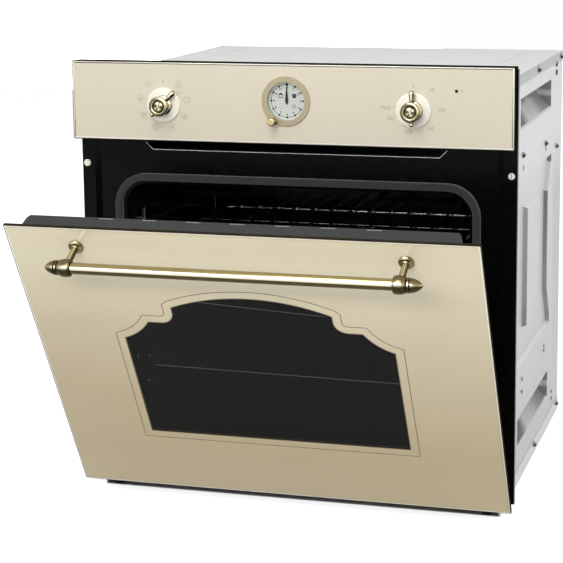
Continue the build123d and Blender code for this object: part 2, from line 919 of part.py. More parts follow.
def timer_glass():
    """The flat window over the timer's dial."""
    y0 = -timer_ring_proud + timer_glass_recess
    return rod((0, y0, timer_height), (0, y0 + timer_glass_thickness, timer_height), timer_bore)


def timer_movement():
    """The clockwork behind the dial, bored for the hand's arbor and the knob's stem."""
    y0 = timer_dial_depth - timer_ring_proud + timer_dial_thickness
    half = timer_body_width / 2
    body = block(-half, half, y0, y0 + timer_body_depth, timer_body_bottom, timer_body_top)
    body = chamfer(body.edges().filter_by(Axis.Y), 6)
    body -= rod((0, y0 - 1, timer_height), (0, y0 + 8, timer_height), timer_arbor + 2 * shaft_clearance)
    stem_x, stem_z = timer_knob_place()
    body -= rod((stem_x, y0 - 1, stem_z), (stem_x, y0 + 10, stem_z), timer_stem + 2 * shaft_clearance)
    return body


def timer_hand():
    """The black tapered hand and its arbor."""
    dial = timer_dial_depth - timer_ring_proud
    y1 = dial - timer_hand_gap
    y0 = y1 - timer_hand_thickness
    half = timer_hand_width / 2
    blade = make_face(Polyline((-half, -4), (half, -4), (half, 1), (0.35, timer_hand_length),
                               (-0.35, timer_hand_length), (-half, 1), close=True))
    hand = front_prism(Pos(0, timer_height) * (blade + Circle(half)), y0, y1)
    return hand + rod((0, y0, timer_height), (0, dial + timer_dial_thickness + 7, timer_height), timer_arbor)


def timer_knob():
    """The small button that sets the timer, and its stem."""
    x, z = timer_knob_place()
    big, stem = timer_knob_diameter / 2, timer_stem / 2
    front = -timer_knob_reach
    end = timer_dial_depth - timer_ring_proud + timer_dial_thickness + 9
    edges = [
        Line((front, 0), (front, big - 1.6)),
        ThreePointArc((front, big - 1.6), (front + 0.5, big - 0.45), (front + 1.6, big)),
        Line((front + 1.6, big), (front + 5.5, big)),
        Line((front + 5.5, big), (front + 6.5, big - 1.6)),
        Line((front + 6.5, big - 1.6), (-timer_ring_proud - 4.0, big - 1.6)),
        Line((-timer_ring_proud - 4.0, big - 1.6), (-timer_ring_proud - 3.0, big - 0.4)),
        Line((-timer_ring_proud - 3.0, big - 0.4), (-timer_ring_proud - running_gap, big - 0.4)),
        Line((-timer_ring_proud - running_gap, big - 0.4), (-timer_ring_proud - running_gap, stem)),
        Line((-timer_ring_proud - running_gap, stem), (end, stem)),
        Line((end, stem), (end, 0)),
        Line((end, 0), (front, 0)),
    ]
    return turned(edges, (x, 0, z), (0, 1, 0))


# Knobs

def knob_skirt(x):
    """The cream disc behind a knob's hub."""
    outer, bore = skirt_diameter / 2, control_shaft / 2 + seat_clearance
    front = -skirt_height
    edges = [
        Line((-running_gap, bore), (-running_gap, outer)),
        ThreePointArc((-running_gap, outer), (front + 1.6, outer - 0.5), (front + 0.9, outer - 2.0)),
        Line((front + 0.9, outer - 2.0), (front, hub_diameter / 2)),
        Line((front, hub_diameter / 2), (front, bore)),
        Line((front, bore), (-running_gap, bore)),
    ]
    return turned(edges, (x, 0, knob_height), (0, 1, 0))


def knob_hub(x, angle):
    """The hub with its flared pointer, ball pin and spindle, turned clockwise by an angle."""
    big, waist = hub_diameter / 2, hub_waist / 2
    back = -skirt_height
    front = -skirt_height - hub_reach
    recess = hub_recess_diameter / 2
    spindle = control_shaft / 2
    spindle_end = panel_back + shaft_insertion - 0.5
    edges = [
        Line((spindle_end, 0), (front + hub_recess_depth, 0)),
        Line((front + hub_recess_depth, 0), (front + hub_recess_depth, 1.5)),
        ThreePointArc((front + hub_recess_depth, 1.5), (front + hub_recess_depth * 0.74, recess * 0.6),
                      (front + 0.3, recess)),
        Line((front + 0.3, recess), (front, recess + 0.8)),
        Line((front, recess + 0.8), (front, big - 1.6)),
        ThreePointArc((front, big - 1.6), (front + 0.6, big - 0.5), (front + 2.0, big)),
        Line((front + 2.0, big), (front + 4.6, big)),
        ThreePointArc((front + 4.6, big), (front + 7.2, waist + 0.9), (front + 8.4, waist)),
        Line((front + 8.4, waist), (back - 3.4, waist)),
        Line((back - 3.4, waist), (back - 2.4, big - 0.8)),
        Line((back - 2.4, big - 0.8), (back - 0.6, big)),
        Line((back - 0.6, big), (back, big)),
        Line((back, big), (back, spindle)),
        Line((back, spindle), (spindle_end, spindle)),
        Line((spindle_end, spindle), (spindle_end, 0)),
    ]
    hub = turned(edges, (x, 0, knob_height), (0, 1, 0))
    arm_y = -pointer_depth
    up = Plane(origin=(x, arm_y, knob_height), x_dir=(0, 0, 1), z_dir=(0, 1, 0))
    root, tip = pointer_root / 2, pointer_tip / 2
    cap = pointer_reach - tip
    lever = make_face([
        Line((0, 0), (0, root)),
        Line((0, root), (waist + 1.0, root)),
        Line((waist + 1.0, root), (cap, tip)),
        ThreePointArc((cap, tip), (pointer_reach - tip * 0.25, tip * 0.66), (pointer_reach, 0.5)),
        Line((pointer_reach, 0.5), (pointer_reach, 0)),
        Line((pointer_reach, 0), (0, 0)),
    ])
    pointer = revolve(up * lever, Axis((x, arm_y, knob_height), (0, 0, 1)), 360)
    ball = Pos(x, arm_y, knob_height - pin_reach + pin_ball / 2) * Sphere(pin_ball / 2)
    neck = rod((x, arm_y, knob_height), (x, arm_y, knob_height - pin_reach + pin_ball / 2), pin_neck)
    knob = fuse([hub, pointer, neck, ball])
    return knob.rotate(Axis((x, 0, knob_height), (0, 1, 0)), angle)


# Door, drawn shut

def window_sketch(grow):
    """The stepped arch of the door window, made larger all round by an amount."""
    ox, oz = window_notch_x + window_notch_radius, window_notch_top - 8.0
    low = oz - window_notch_radius
    diagonal = window_notch_radius * math.sqrt(0.5)
    shoulder_mid_x = (window_half_width + window_step_x) / 2
    shoulder_mid_z = (window_shoulder + window_step_z) / 2 - 3.5

    def side(sign):
        return [
            Line((sign * window_half_width, door_bottom + window_bottom),
                 (sign * window_half_width, door_bottom + window_shoulder)),
            ThreePointArc((sign * window_half_width, door_bottom + window_shoulder),
                          (sign * shoulder_mid_x, door_bottom + shoulder_mid_z),
                          (sign * window_step_x, door_bottom + low)),
            Line((sign * window_step_x, door_bottom + low), (sign * ox, door_bottom + low)),
            ThreePointArc((sign * ox, door_bottom + low),
                          (sign * (ox - diagonal), door_bottom + oz - diagonal),
                          (sign * window_notch_x, door_bottom + oz)),
            Line((sign * window_notch_x, door_bottom + oz),
                 (sign * window_notch_x, door_bottom + window_notch_top)),
            Line((sign * window_notch_x, door_bottom + window_notch_top),
                 (sign * window_arch_x, door_bottom + window_arch_z)),
        ]

    arch = ThreePointArc((-window_arch_x, door_bottom + window_arch_z), (0, door_bottom + window_crown),
                         (window_arch_x, door_bottom + window_arch_z))
    sill = Line((-window_half_width, door_bottom + window_bottom),
                (window_half_width, door_bottom + window_bottom))
    face = make_face([*side(-1), arch, *side(1), sill])
    return offset(face, amount=grow, kind=Kind.INTERSECTION) if grow else face


def handle_screw_places():
    """Where the handle's screws pass through the door, as X and Z."""
    return [(sign * handle_x, door_bottom + handle_height) for sign in (-1, 1)]


def door_outer_glass():
    """The door's outer glass."""
    glass = pane(front_width, door_bottom, door_top, 0, glass_thickness, glass_corner, glass_bevel)
    for x, z in handle_screw_places():
        glass -= rod((x, -1, z), (x, glass_thickness + 1, z), handle_screw_shank + 1)
    return glass


def door_print():
    """The enamel layer printed on the back of the outer glass, open at the window."""
    inset = 0.8
    layer = front_prism(rounded_box_sketch(front_width - 2 * inset, door_bottom + inset, door_top - inset,
                                           glass_corner), glass_thickness, rail_face)
    layer -= front_prism(window_sketch(0), glass_thickness - 1, rail_face + 1)
    for x, z in handle_screw_places():
        layer -= rod((x, glass_thickness - 1, z), (x, rail_face + 1, z), handle_screw_shank + 1)
    return layer


def door_top_rail():
    """The dark rail along the top of the door, with its row of air slots."""
    half = rail_outer_width / 2
    top = door_top - top_rail_drop
    points = [
        (-half, rail_face),
        (half, rail_face),
        (half - rail_end_chamfer * 0.3, door_depth - rail_end_chamfer),
        (half - rail_end_chamfer, door_depth),
        (-half + rail_end_chamfer, door_depth),
        (-half + rail_end_chamfer * 0.3, door_depth - rail_end_chamfer),
    ]
    face = Pos(0, 0, top - top_rail_height) * make_face(Polyline(*points, close=True))
    rail = extrude(face, amount=top_rail_height)
    for index in range(rail_slot_count):
        x = (index - (rail_slot_count - 1) / 2) * rail_slot_pitch
        half_slot = rail_slot_length / 2
        rail -= block(x - half_slot, x + half_slot, door_depth - rail_slot_height, door_depth + 1,
                      top - rail_slot_depth, top + 1)
    groove = middle_glass_width / 2 + running_gap
    pane_y0 = middle_glass_depth - seat_clearance
    pane_y1 = middle_glass_depth + pane_thickness + seat_clearance
    low = top - top_rail_height - 1
    rail -= block(-groove, groove, pane_y0, pane_y1, low, middle_glass_top + running_gap)
    seat = inner_glass_width / 2 + running_gap
    seat_top = inner_glass_top + running_gap
    rail -= block(-seat, seat, door_depth - pane_thickness, door_depth + 1, low, seat_top)
    for x, z in handle_screw_places():
        rail -= rod((x, rail_face - 1, z), (x, rail_face + handle_screw_head_height + 2, z),
                    handle_screw_head + 1)
    return rail


def door_bottom_rail():
    """The rail along the bottom of the door."""
    inner = rail_inner_width / 2
    back = door_depth - pane_thickness
    rail = block(-inner, inner, rail_face, back, door_bottom + 2, inner_glass_bottom + 8)
    groove = middle_glass_width / 2
    pane_y0 = middle_glass_depth - seat_clearance
    pane_y1 = middle_glass_depth + pane_thickness + seat_clearance
    rail -= block(-groove, groove, pane_y0, pane_y1, middle_glass_bottom, inner_glass_bottom + 9)
    lip = block(-inner, inner, back, door_depth, door_bottom + 2, inner_glass_bottom)
    return rail + lip


def door_side_rail():
    """The right side rail, hollow for its hinge arm."""
    inner, outer = rail_inner_width / 2, rail_outer_width / 2
    top = door_top - top_rail_drop - top_rail_height
    back = door_depth - pane_thickness
    rail = block(inner, outer, rail_face, back, door_bottom + 2, top)
    rail += block(inner_glass_width / 2 + running_gap, outer, back, door_depth, door_bottom + 2, top)
    rail += block(inner, outer, back, door_depth, door_bottom + 2, inner_glass_bottom)
    pane_y0 = middle_glass_depth - seat_clearance
    pane_y1 = middle_glass_depth + pane_thickness + seat_clearance
    groove = middle_glass_width / 2 + running_gap
    rail -= block(inner - 1, groove, pane_y0, pane_y1, middle_glass_bottom, top + 1)
    arm_half = hinge_arm_thickness / 2 + seat_clearance
    rail -= block(hinge_x - arm_half, hinge_x + arm_half, hinge_arm_face - seat_clearance,
                  hinge_arm_face + hinge_arm_depth + seat_clearance,
                  0, hinge_z + hinge_arm_length + running_gap)
    ear_half = hinge_arm_thickness / 2 + hinge_side_gap + hinge_ear + 2.5
    rail -= block(hinge_x - ear_half, hinge_x + ear_half, hinge_y - hinge_boss / 2 - 2, door_depth + 1,
                  0, inner_glass_bottom)
    return rail


def door_inner_glass():
    """The inner glass, against which the cavity's gasket seals."""
    sketch = rounded_box_sketch(inner_glass_width, inner_glass_bottom, inner_glass_top, 4)
    return front_prism(sketch, door_depth - pane_thickness, door_depth)


def door_middle_glass():
    """The middle glass, held in grooves in the rails."""
    sketch = rounded_box_sketch(middle_glass_width, middle_glass_bottom, middle_glass_top, 2)
    return front_prism(sketch, middle_glass_depth, middle_glass_depth + pane_thickness)


def hinge_arm():
    """The right hinge arm, from its pivot up into the side rail."""
    x0, x1 = hinge_x - hinge_arm_thickness / 2, hinge_x + hinge_arm_thickness / 2
    radius = hinge_boss / 2
    boss = rod((x0, hinge_y, hinge_z), (x1, hinge_y, hinge_z), hinge_boss)
    top = hinge_z + hinge_arm_length
    back = hinge_arm_face + hinge_arm_depth
    outline = make_face(Polyline(
        (hinge_arm_face, hinge_z + 6),
        (hinge_arm_face, top - 6),
        (hinge_arm_face + 3, top),
        (back, top),
        (back, hinge_z + 20),
        (hinge_y + radius * 0.6, hinge_z + radius * 0.8),
        (hinge_y - radius * 0.5, hinge_z - radius * 0.86),
        close=True,
    ))
    arm = side_prism(outline, x0, x1) + boss
    bore = hinge_pin + 2 * shaft_clearance
    return arm - rod((x0 - 1, hinge_y, hinge_z), (x1 + 1, hinge_y, hinge_z), bore)


def hinge_cassette():
    """The right hinge cassette behind the frame, with its two ears and the pivot pin."""
    half = hinge_arm_thickness / 2 + hinge_side_gap
    z0, z1 = cassette_bottom + 1, cassette_bottom + cassette_height - 1
    y1 = frame_back + cassette_length
    outer = half + hinge_ear
    channel = block(hinge_x - outer, hinge_x + outer, frame_back, y1, z0, z1)
    channel -= block(hinge_x - half, hinge_x + half, frame_back - 1, y1 - hinge_ear, z0 + hinge_ear,
                     z1 - hinge_ear)
    pieces = [channel]
    ear_reach = hinge_boss / 2
    for sign in (-1, 1):
        x_in, x_out = sign * half, sign * outer
        x0, x1 = sorted((hinge_x + x_in, hinge_x + x_out))
        tongue = block(x0, x1, hinge_y, frame_back + 1, hinge_z - ear_reach + 1, hinge_z + ear_reach)
        pieces += [tongue, rod((x0, hinge_y, hinge_z), (x1, hinge_y, hinge_z), hinge_boss - 2)]
    pieces.append(rod((hinge_x - outer, hinge_y, hinge_z), (hinge_x + outer, hinge_y, hinge_z), hinge_pin))
    foot = block(hinge_x - outer, hinge_x + outer, frame_back, frame_back + 60, sheet, z0 + 1)
    return fuse([*pieces, foot])


# Handle, on the closed door

def bar_axis():
    """Depth and height of the handle bar's axis."""
    return -handle_standoff, door_bottom + handle_height


def handle_bar():
    """The round bar between the two end barrels."""
    y, z = bar_axis()
    end = handle_x - handle_barrel_length / 2
    bar = rod((-end, y, z), (end, y, z), handle_bar_diameter)
    tip = end + handle_spigot_length
    return bar + rod((-tip, y, z), (tip, y, z), handle_spigot_diameter)


def handle_end():
    """The right barrel with its rings and its pointed tip."""
    y, z = bar_axis()
    barrel, ring = handle_barrel_diameter / 2, handle_ring_diameter / 2
    groove = handle_groove_diameter / 2
    half = handle_barrel_length / 2
    bore = handle_spigot_diameter / 2 + seat_clearance
    bore_end = -half + handle_spigot_length + seat_clearance
    ring_start = half + handle_groove_width
    ring_end = ring_start + handle_ring_width
    tip_start = ring_end + handle_groove_width
    tip_end = tip_start + handle_tip_length
    edges = [
        Line((-half, bore), (-half, barrel - 3.2)),
        ThreePointArc((-half, barrel - 3.2), (-half + 1.2, barrel - 1.1), (-half + 3.4, barrel - 0.3)),
        ThreePointArc((-half + 3.4, barrel - 0.3), (0.4, barrel), (half, ring)),
        Line((half, ring), (half, groove)),
        Line((half, groove), (ring_start, groove)),
        Line((ring_start, groove), (ring_start, ring)),
        Line((ring_start, ring), (ring_end, ring)),
        Line((ring_end, ring), (ring_end, groove)),
        Line((ring_end, groove), (tip_start, groove)),
        Line((tip_start, groove), (tip_start, ring - 0.3)),
        ThreePointArc((tip_start, ring - 0.3), (tip_start + handle_tip_length * 0.58, ring * 0.66),
                      (tip_end - 0.4, 0.9)),
        Line((tip_end - 0.4, 0.9), (tip_end, 0)),
        Line((tip_end, 0), (bore_end, 0)),
        Line((bore_end, 0), (bore_end, bore)),
        Line((bore_end, bore), (-half, bore)),
    ]
    end = turned(edges, (handle_x, y, z), (1, 0, 0))
    socket = handle_post_diameter + 2 * seat_clearance
    return end - rod((handle_x, y + bore + 1.2, z), (handle_x, 0, z), socket)


def handle_post():
    """The right post with its rosette, tapped for the screw from inside the door."""
    y, z = bar_axis()
    post, rosette = handle_post_diameter / 2, rosette_diameter / 2
    bore = handle_spigot_diameter / 2 + seat_clearance
    top = y + bore + 1.2 + seat_clearance
    screw = handle_screw_shank / 2 + shaft_clearance
    tapped = rail_face + handle_screw_head_height - handle_screw_length - 1
    edges = [
        Line((0, screw), (0, rosette)),
        Line((0, rosette), (-1.4, rosette)),
        ThreePointArc((-1.4, rosette), (-rosette_height + 0.6, rosette * 0.78),
                      (-rosette_height, post + 1.2)),
        ThreePointArc((-rosette_height, post + 1.2), (-rosette_height - 0.7, post + 0.3),
                      (-rosette_height - 2.0, post)),
        Line((-rosette_height - 2.0, post), (top, post)),
        Line((top, post), (top, 0)),
        Line((top, 0), (tapped, 0)),
        Line((tapped, 0), (tapped, screw)),
        Line((tapped, screw), (0, screw)),
    ]
    return turned(edges, (handle_x, 0, z), (0, 1, 0))


def handle_screw():
    """The screw that draws a post against the glass, its head inside the top rail."""
    z = door_bottom + handle_height
    head, shank = handle_screw_head / 2, handle_screw_shank / 2
    seat = rail_face
    end = seat + handle_screw_head_height - handle_screw_length
    points = [
        (end, 0),
        (end, shank),
        (seat, shank),
        (seat, head),
        (seat + handle_screw_head_height, head),
        (seat + handle_screw_head_height, 0),
    ]
    return turned_steps(points, (handle_x, 0, z), (0, 1, 0))


# Cavity and what is in it

def cavity_liner():
    """The enamelled cavity, open at the front."""
    outer = rounded_box_sketch(cavity_width + 2 * sheet, cavity_bottom - sheet, cavity_top + sheet,
                               cavity_corner + sheet)
    inner = rounded_box_sketch(cavity_width, cavity_bottom, cavity_top, cavity_corner)
    liner = front_prism(outer, frame_back, cavity_rear + sheet)
    liner -= front_prism(inner, frame_back - 1, cavity_rear)
    return cut_all(liner, rear_wall_cuts() + roof_cuts())


def rear_wall_cuts():
    """Holes in the rear wall for heater legs, the fan shaft and the lamp."""
    y0, y1 = cavity_rear - 2, cavity_rear + insulation_rear + 8
    leg = heater_tube + 2 * running_gap
    cuts = [rod((sign * grill_leg_half, y0, grill_height), (sign * grill_leg_half, y1, grill_height), leg)
            for sign in (-1, 1)]
    for x, z in ring_heater_ends():
        cuts.append(rod((x, y0, z), (x, y1, z), leg))
    cuts.append(rod((0, y0, fan_height), (0, y1, fan_height), fan_shaft + 4))
    cuts.append(rod((lamp_x, y0, lamp_z), (lamp_x, y1, lamp_z), lamp_holder_diameter + 2 * seat_clearance))
    return cuts


def roof_cuts():
    """The hole in the roof for the thermostat's capillary."""
    return [rod((probe_x, probe_rise_y, cavity_top - 4), (probe_x, probe_rise_y, deck_height + 4), 4.0)]


def cavity_gasket():
    """The heat-proof gasket round the cavity mouth."""
    lap = 2 * gasket_lap
    inner = rounded_box_sketch(cavity_width + lap, cavity_bottom - gasket_lap, cavity_top + gasket_lap,
                               cavity_corner + gasket_lap)
    grow = lap + 2 * gasket_width
    reach = gasket_lap + gasket_width
    outer = rounded_box_sketch(cavity_width + grow, cavity_bottom - reach, cavity_top + reach,
                               cavity_corner + reach)
    front = door_depth + gasket_gap
    ring = front_prism(outer - inner, front, frame_face)
    edge = ring.faces().sort_by(Axis.Y)[0].edges()
    return fillet(edge, 2.6)


def insulation():
    """The glass wool jacket round the cavity."""
    outer = block(-insulation_half, insulation_half, insulation_front, cavity_rear + sheet + insulation_rear,
                  cavity_bottom - sheet - insulation_bottom, cavity_top + sheet + insulation_top)
    grow = sheet + running_gap
    inner = rounded_box_sketch(cavity_width + 2 * grow, cavity_bottom - grow, cavity_top + grow,
                               cavity_corner + grow)
    jacket = outer - front_prism(inner, insulation_front - 1, cavity_rear + grow)
    jacket = cut_all(jacket, rear_wall_cuts() + roof_cuts())
    groove = heater_tube + 2
    low = cavity_bottom - floor_heater_groove
    jacket -= block(-floor_heater_half_width - groove, floor_heater_half_width + groove,
                    floor_heater_front - groove, cavity_rear + insulation_rear + 8, low, cavity_bottom)
    return jacket


def cooling_deck():
    """The sheet that parts the hot zone from the controls and the cooling fan."""
    x = side_face - sheet
    deck = block(-x, x, frame_back + sheet, rear_inner - sheet, deck_height - sheet, deck_height)
    return cut_all(deck, roof_cuts())


def shelf_rack():
    """The right wire rack, which hooks to the side wall and carries shelf and tray."""
    wall = cavity_width / 2
    pieces = []
    for y in (rack_front, rack_back):
        pieces.append(rod((upright_x, y, rack_bottom), (upright_x, y, rack_top), rack_upright))
        for z in (rack_bottom + rack_hook_inset, rack_top - rack_hook_inset):
            pieces.append(rod((upright_x, y, z), (wall, y, z), rack_upright))
    for level in range(rack_wire_count):
        z = rack_first_wire + level * rack_pitch
        pieces.append(rod((runner_x, rack_front - rack_wire_overhang, z),
                          (runner_x, rack_back + rack_wire_overhang, z), rack_wire))
    return fuse(pieces)


def wire_shelf():
    """The chromed wire shelf."""
    radius = shelf_frame_wire / 2
    z = shelf_rest + radius
    x = shelf_half_width - radius
    y0, y1 = shelf_front + radius, shelf_back - radius
    loop = Pos(0, (y0 + y1) / 2) * RectangleRounded(2 * x, y1 - y0, shelf_corner)
    path = (Pos(0, 0, z) * loop).face().outer_wire()
    start = Plane(origin=path @ 0, z_dir=path % 0)
    frame = sweep(start * Circle(radius), path=path)
    pieces = [frame]
    for y in (y0 + (y1 - y0) / 3, y0 + 2 * (y1 - y0) / 3):
        pieces.append(rod((-x, y, z), (x, y, z), shelf_cross_wire))
    for index in range(shelf_bar_count):
        bar_x = (index - (shelf_bar_count - 1) / 2) * shelf_bar_pitch
        lift = z + radius + shelf_bar_wire / 2 - shelf_bar_seat
        pieces.append(rod((bar_x, y0 - radius, lift), (bar_x, y1 + radius, lift), shelf_bar_wire))
    return fuse(pieces)


def baking_tray():
    """The enamelled baking tray, hung by its rim."""
    x = shelf_half_width
    rim = Pos(0, (tray_front + tray_back) / 2) * RectangleRounded(2 * x, tray_back - tray_front, tray_corner)
    width, depth = 2 * (x - tray_rim), tray_back - tray_front - 2 * tray_rim
    pan = Pos(0, (tray_front + tray_back) / 2) * RectangleRounded(width, depth, tray_corner)
    slope = 5.0
    floor = offset(pan, amount=-slope)
    top = tray_rest + tray_sheet
    bottom = top - tray_depth
    outer = loft([Pos(0, 0, top) * pan, Pos(0, 0, bottom) * floor])
    wall = tray_sheet
    inner = loft([Pos(0, 0, top + 0.01) * offset(pan, amount=-wall),
                  Pos(0, 0, bottom + wall) * offset(floor, amount=-wall)])
    plate = extrude(Pos(0, 0, tray_rest) * rim, amount=tray_sheet)
    mouth = extrude(Pos(0, 0, tray_rest - 1) * offset(pan, amount=-wall), amount=tray_sheet + 2)
    return plate - mouth + (outer - inner)


# Heaters, fan, lamp and sensor

def grill_element():
    """The grill heater under the cavity roof, with the two strips that hang it there."""
    rear = cavity_rear + sheet + insulation_rear + 12
    wide, inner, leg = grill_half_width, grill_inner_half, grill_leg_half
    plan = [
        (-leg, rear), (-leg, grill_turn), (-wide, grill_turn), (-wide, grill_front), (-inner, grill_front),
        (-inner, grill_cross), (inner, grill_cross), (inner, grill_front), (wide, grill_front),
        (wide, grill_turn), (leg, grill_turn), (leg, rear),
    ]
    heater = bent_rod([(x, y, grill_height) for x, y in plan], heater_tube, grill_bend)
    half = grill_hanger_width / 2
    hangers = [block(x - half, x + half, grill_front - 1, grill_front + 1, grill_height, cavity_top)
               for x in (-(wide + inner) / 2, (wide + inner) / 2)]
    return fuse([heater, *hangers])


def floor_heater():
    """The lower heater, between the cavity floor and the insulation."""
    rear = cavity_rear + sheet + insulation_rear + 12
    wide, back, front = floor_heater_half_width, floor_heater_back, floor_heater_front
    plan = [
        (-60, rear), (-60, back), (-wide, back), (-wide, front), (wide, front), (wide, back), (60, back),
        (60, rear),
    ]
    z = cavity_bottom - sheet - running_gap - heater_tube / 2
    return bent_rod([(x, y, z) for x, y in plan], heater_tube, 26)


def ring_heater_ends():
    """Where the ring heater's two legs leave through the rear wall, as X and Z."""
    turn = math.radians(ring_heater_gap_angle / 2)
    x = ring_heater_radius * math.sin(turn)
    z = fan_height - ring_heater_radius * math.cos(turn)
    return [(-x, z), (x, z)]


def ring_heater():
    """The ring heater round the fan."""
    centre = (0, ring_heater_depth, fan_height)
    start = ring_heater_gap_angle / 2
    section = Plane(origin=centre, x_dir=(0, 0, -1), z_dir=(1, 0, 0)) * Pos(ring_heater_radius, 0) * Circle(
        heater_tube / 2)
    ring = revolve(section, Axis(centre, (0, 1, 0)), 360 - ring_heater_gap_angle)
    ring = ring.rotate(Axis(centre, (0, 1, 0)), start)
    rear = cavity_rear + sheet + insulation_rear + 8
    pieces = [ring]
    for x, z in ring_heater_ends():
        pieces.append(rod((x, ring_heater_depth, z), (x, rear, z), heater_tube))
        pieces.append(Pos(x, ring_heater_depth, z) * Sphere(heater_tube / 2))
    return fuse(pieces)


def fan_baffle():
    """The perforated cover over the fan and the ring heater."""
    outer = rounded_box_sketch(baffle_width, baffle_bottom, baffle_top, baffle_corner)
    inner = rounded_box_sketch(baffle_width - 2 * sheet, baffle_bottom + sheet, baffle_top - sheet,
                               baffle_corner - sheet)
    cover = front_prism(outer, baffle_face, cavity_rear)
    cover -= front_prism(inner, baffle_face + sheet, cavity_rear + 1)
    for row in range(baffle_slot_rows):
        z = (row - (baffle_slot_rows - 1) / 2) * baffle_slot_pitch
        half = math.sqrt(max(baffle_slot_radius ** 2 - z ** 2, 0))
        if half > 2 * baffle_slot_height:
            slot = Pos(0, fan_height + z) * SlotOverall(2 * half, baffle_slot_height)
            cover -= front_prism(slot, baffle_face - 1, baffle_face + sheet + 1)
    for sign in (-1, 1):
        for row in range(4):
            z = fan_height + (row - 1.5) * 46
            slot = Pos(sign * (baffle_width / 2 - 24), z) * Rot(0, 0, 90) * SlotOverall(34, 7)
            cover -= front_prism(slot, baffle_face - 1, baffle_face + sheet + 1)
    return cover


def fan_impeller():
    """The convection fan with its shaft."""
    radius = fan_diameter / 2
    back = fan_front + fan_depth
    disc = rod((0, back - fan_sheet, fan_height), (0, back, fan_height), fan_diameter)
    hub = rod((0, fan_front + fan_hub_setback, fan_height), (0, back, fan_height), fan_hub)
    motor_end = cavity_rear + sheet + insulation_rear + motor_length * 0.7
    shaft = rod((0, fan_front - fan_hub_setback, fan_height), (0, motor_end, fan_height), fan_shaft)
    pieces = [disc, hub, shaft]
    for index in range(fan_blades):
        root = fan_height + fan_blade_root
        blade = block(-fan_sheet / 2, fan_sheet / 2, fan_front, back, root, fan_height + radius - sheet)
        blade = blade.rotate(Axis((0, 0, root), (0, 1, 0)), fan_blade_twist)
        pieces.append(blade.rotate(Axis((0, 0, fan_height), (0, 1, 0)), index * 360 / fan_blades))
    return fuse(pieces)


def fan_motor():
    """The convection fan's motor behind the cavity, on its bracket."""
    y0 = cavity_rear + sheet + insulation_rear
    y1 = y0 + motor_bracket_sheet
    body = rod((0, y1, fan_height), (0, y0 + motor_length, fan_height), motor_diameter)
    bracket = block(-motor_bracket_half, motor_bracket_half, y0, y1, fan_height - motor_bracket_rise,
                    fan_height + motor_bracket_rise)
    stator = block(-stator_half_width, stator_half_width, y0 + stator_front, y0 + stator_rear,
                   fan_height - stator_low, fan_height - stator_high)
    motor = fuse([body, bracket, stator])
    return motor - rod((0, y0 - 1, fan_height), (0, y0 + motor_length * 0.75, fan_height),
                       fan_shaft + 2 * shaft_clearance)


def lamp_holder():
    """The lamp's ceramic holder in the rear wall."""
    y0 = cavity_rear - 2
    y1 = cavity_rear + lamp_holder_length
    body = rod((lamp_x, y0, lamp_z), (lamp_x, y1, lamp_z), lamp_holder_diameter)
    socket = rod((lamp_x, y0 - 1, lamp_z), (lamp_x, y0 + 26, lamp_z), bulb_diameter + 1)
    return body - socket


def lamp_bulb():
    """The lamp's bulb, seated in its holder."""
    y0 = cavity_rear - 2
    base = rod((lamp_x, y0 + 8, lamp_z), (lamp_x, y0 + 25, lamp_z), bulb_diameter)
    bulb = Pos(lamp_x, y0 + 4, lamp_z) * Sphere(bulb_diameter / 2)
    return base + bulb


def lamp_lens():
    """The glass cap over the lamp."""
    outer = lamp_lens_diameter / 2
    depth = lamp_lens_depth
    edges = [
        Line((0, lamp_holder_diameter / 2 + 0.4), (0, outer)),
        Line((0, outer), (-depth + 8, outer)),
        ThreePointArc((-depth + 8, outer), (-depth + 2.2, outer * 0.76), (-depth, 6)),
        Line((-depth, 6), (-depth, 0)),
        Line((-depth, 0), (-depth + 2.4, 0)),
        Line((-depth + 2.4, 0), (-depth + 2.4, 5)),
        ThreePointArc((-depth + 2.4, 5), (-depth + 4.4, outer * 0.67), (-depth + 8.4, outer - 2.4)),
        Line((-depth + 8.4, outer - 2.4), (-2.4, outer - 2.4)),
        Line((-2.4, outer - 2.4), (-2.4, lamp_holder_diameter / 2 + 0.4)),
        Line((-2.4, lamp_holder_diameter / 2 + 0.4), (0, lamp_holder_diameter / 2 + 0.4)),
    ]
    return turned(edges, (lamp_x, cavity_rear, lamp_z), (0, 1, 0))


def thermostat_probe():
    """The sensing bulb under the roof and the capillary that leads to the thermostat."""
    bulb = rod((probe_x, probe_front, probe_z), (probe_x, probe_front + 84, probe_z), probe_bulb)
    rise = capillary_height
    switch_back = panel_back + switch_depth
    route = [
        (probe_x, probe_front + 80, probe_z),
        (probe_x, probe_rise_y, probe_z),
        (probe_x, probe_rise_y, rise),
        (knob_x, switch_back + 14, rise),
        (knob_x, switch_back + 14, knob_height - 6),
        (knob_x, switch_back, knob_height - 6),
    ]
    line = bent_rod(route, capillary, 6)
    clips = [block(probe_x - 3.5, probe_x + 3.5, y - 1, y + 1, probe_z - probe_bulb / 2 + 0.4, cavity_top)
             for y in (probe_front + 10, probe_front + 64)]
    return fuse([bulb, line, *clips])


# Cooling fan and electrical parts

def duct_outline(grow):
    """The air outlet's front outline, with its two slanted lower corners."""
    x = duct_half_width + grow
    wide = x + duct_step
    z0 = duct_bottom - grow
    z1 = duct_bottom + duct_height + grow
    points = [(-x, z0), (x, z0), (wide, z0 + duct_step * 0.6), (wide, z1), (-wide, z1),
              (-wide, z0 + duct_step * 0.6)]
    return make_face(Polyline(*points, close=True))


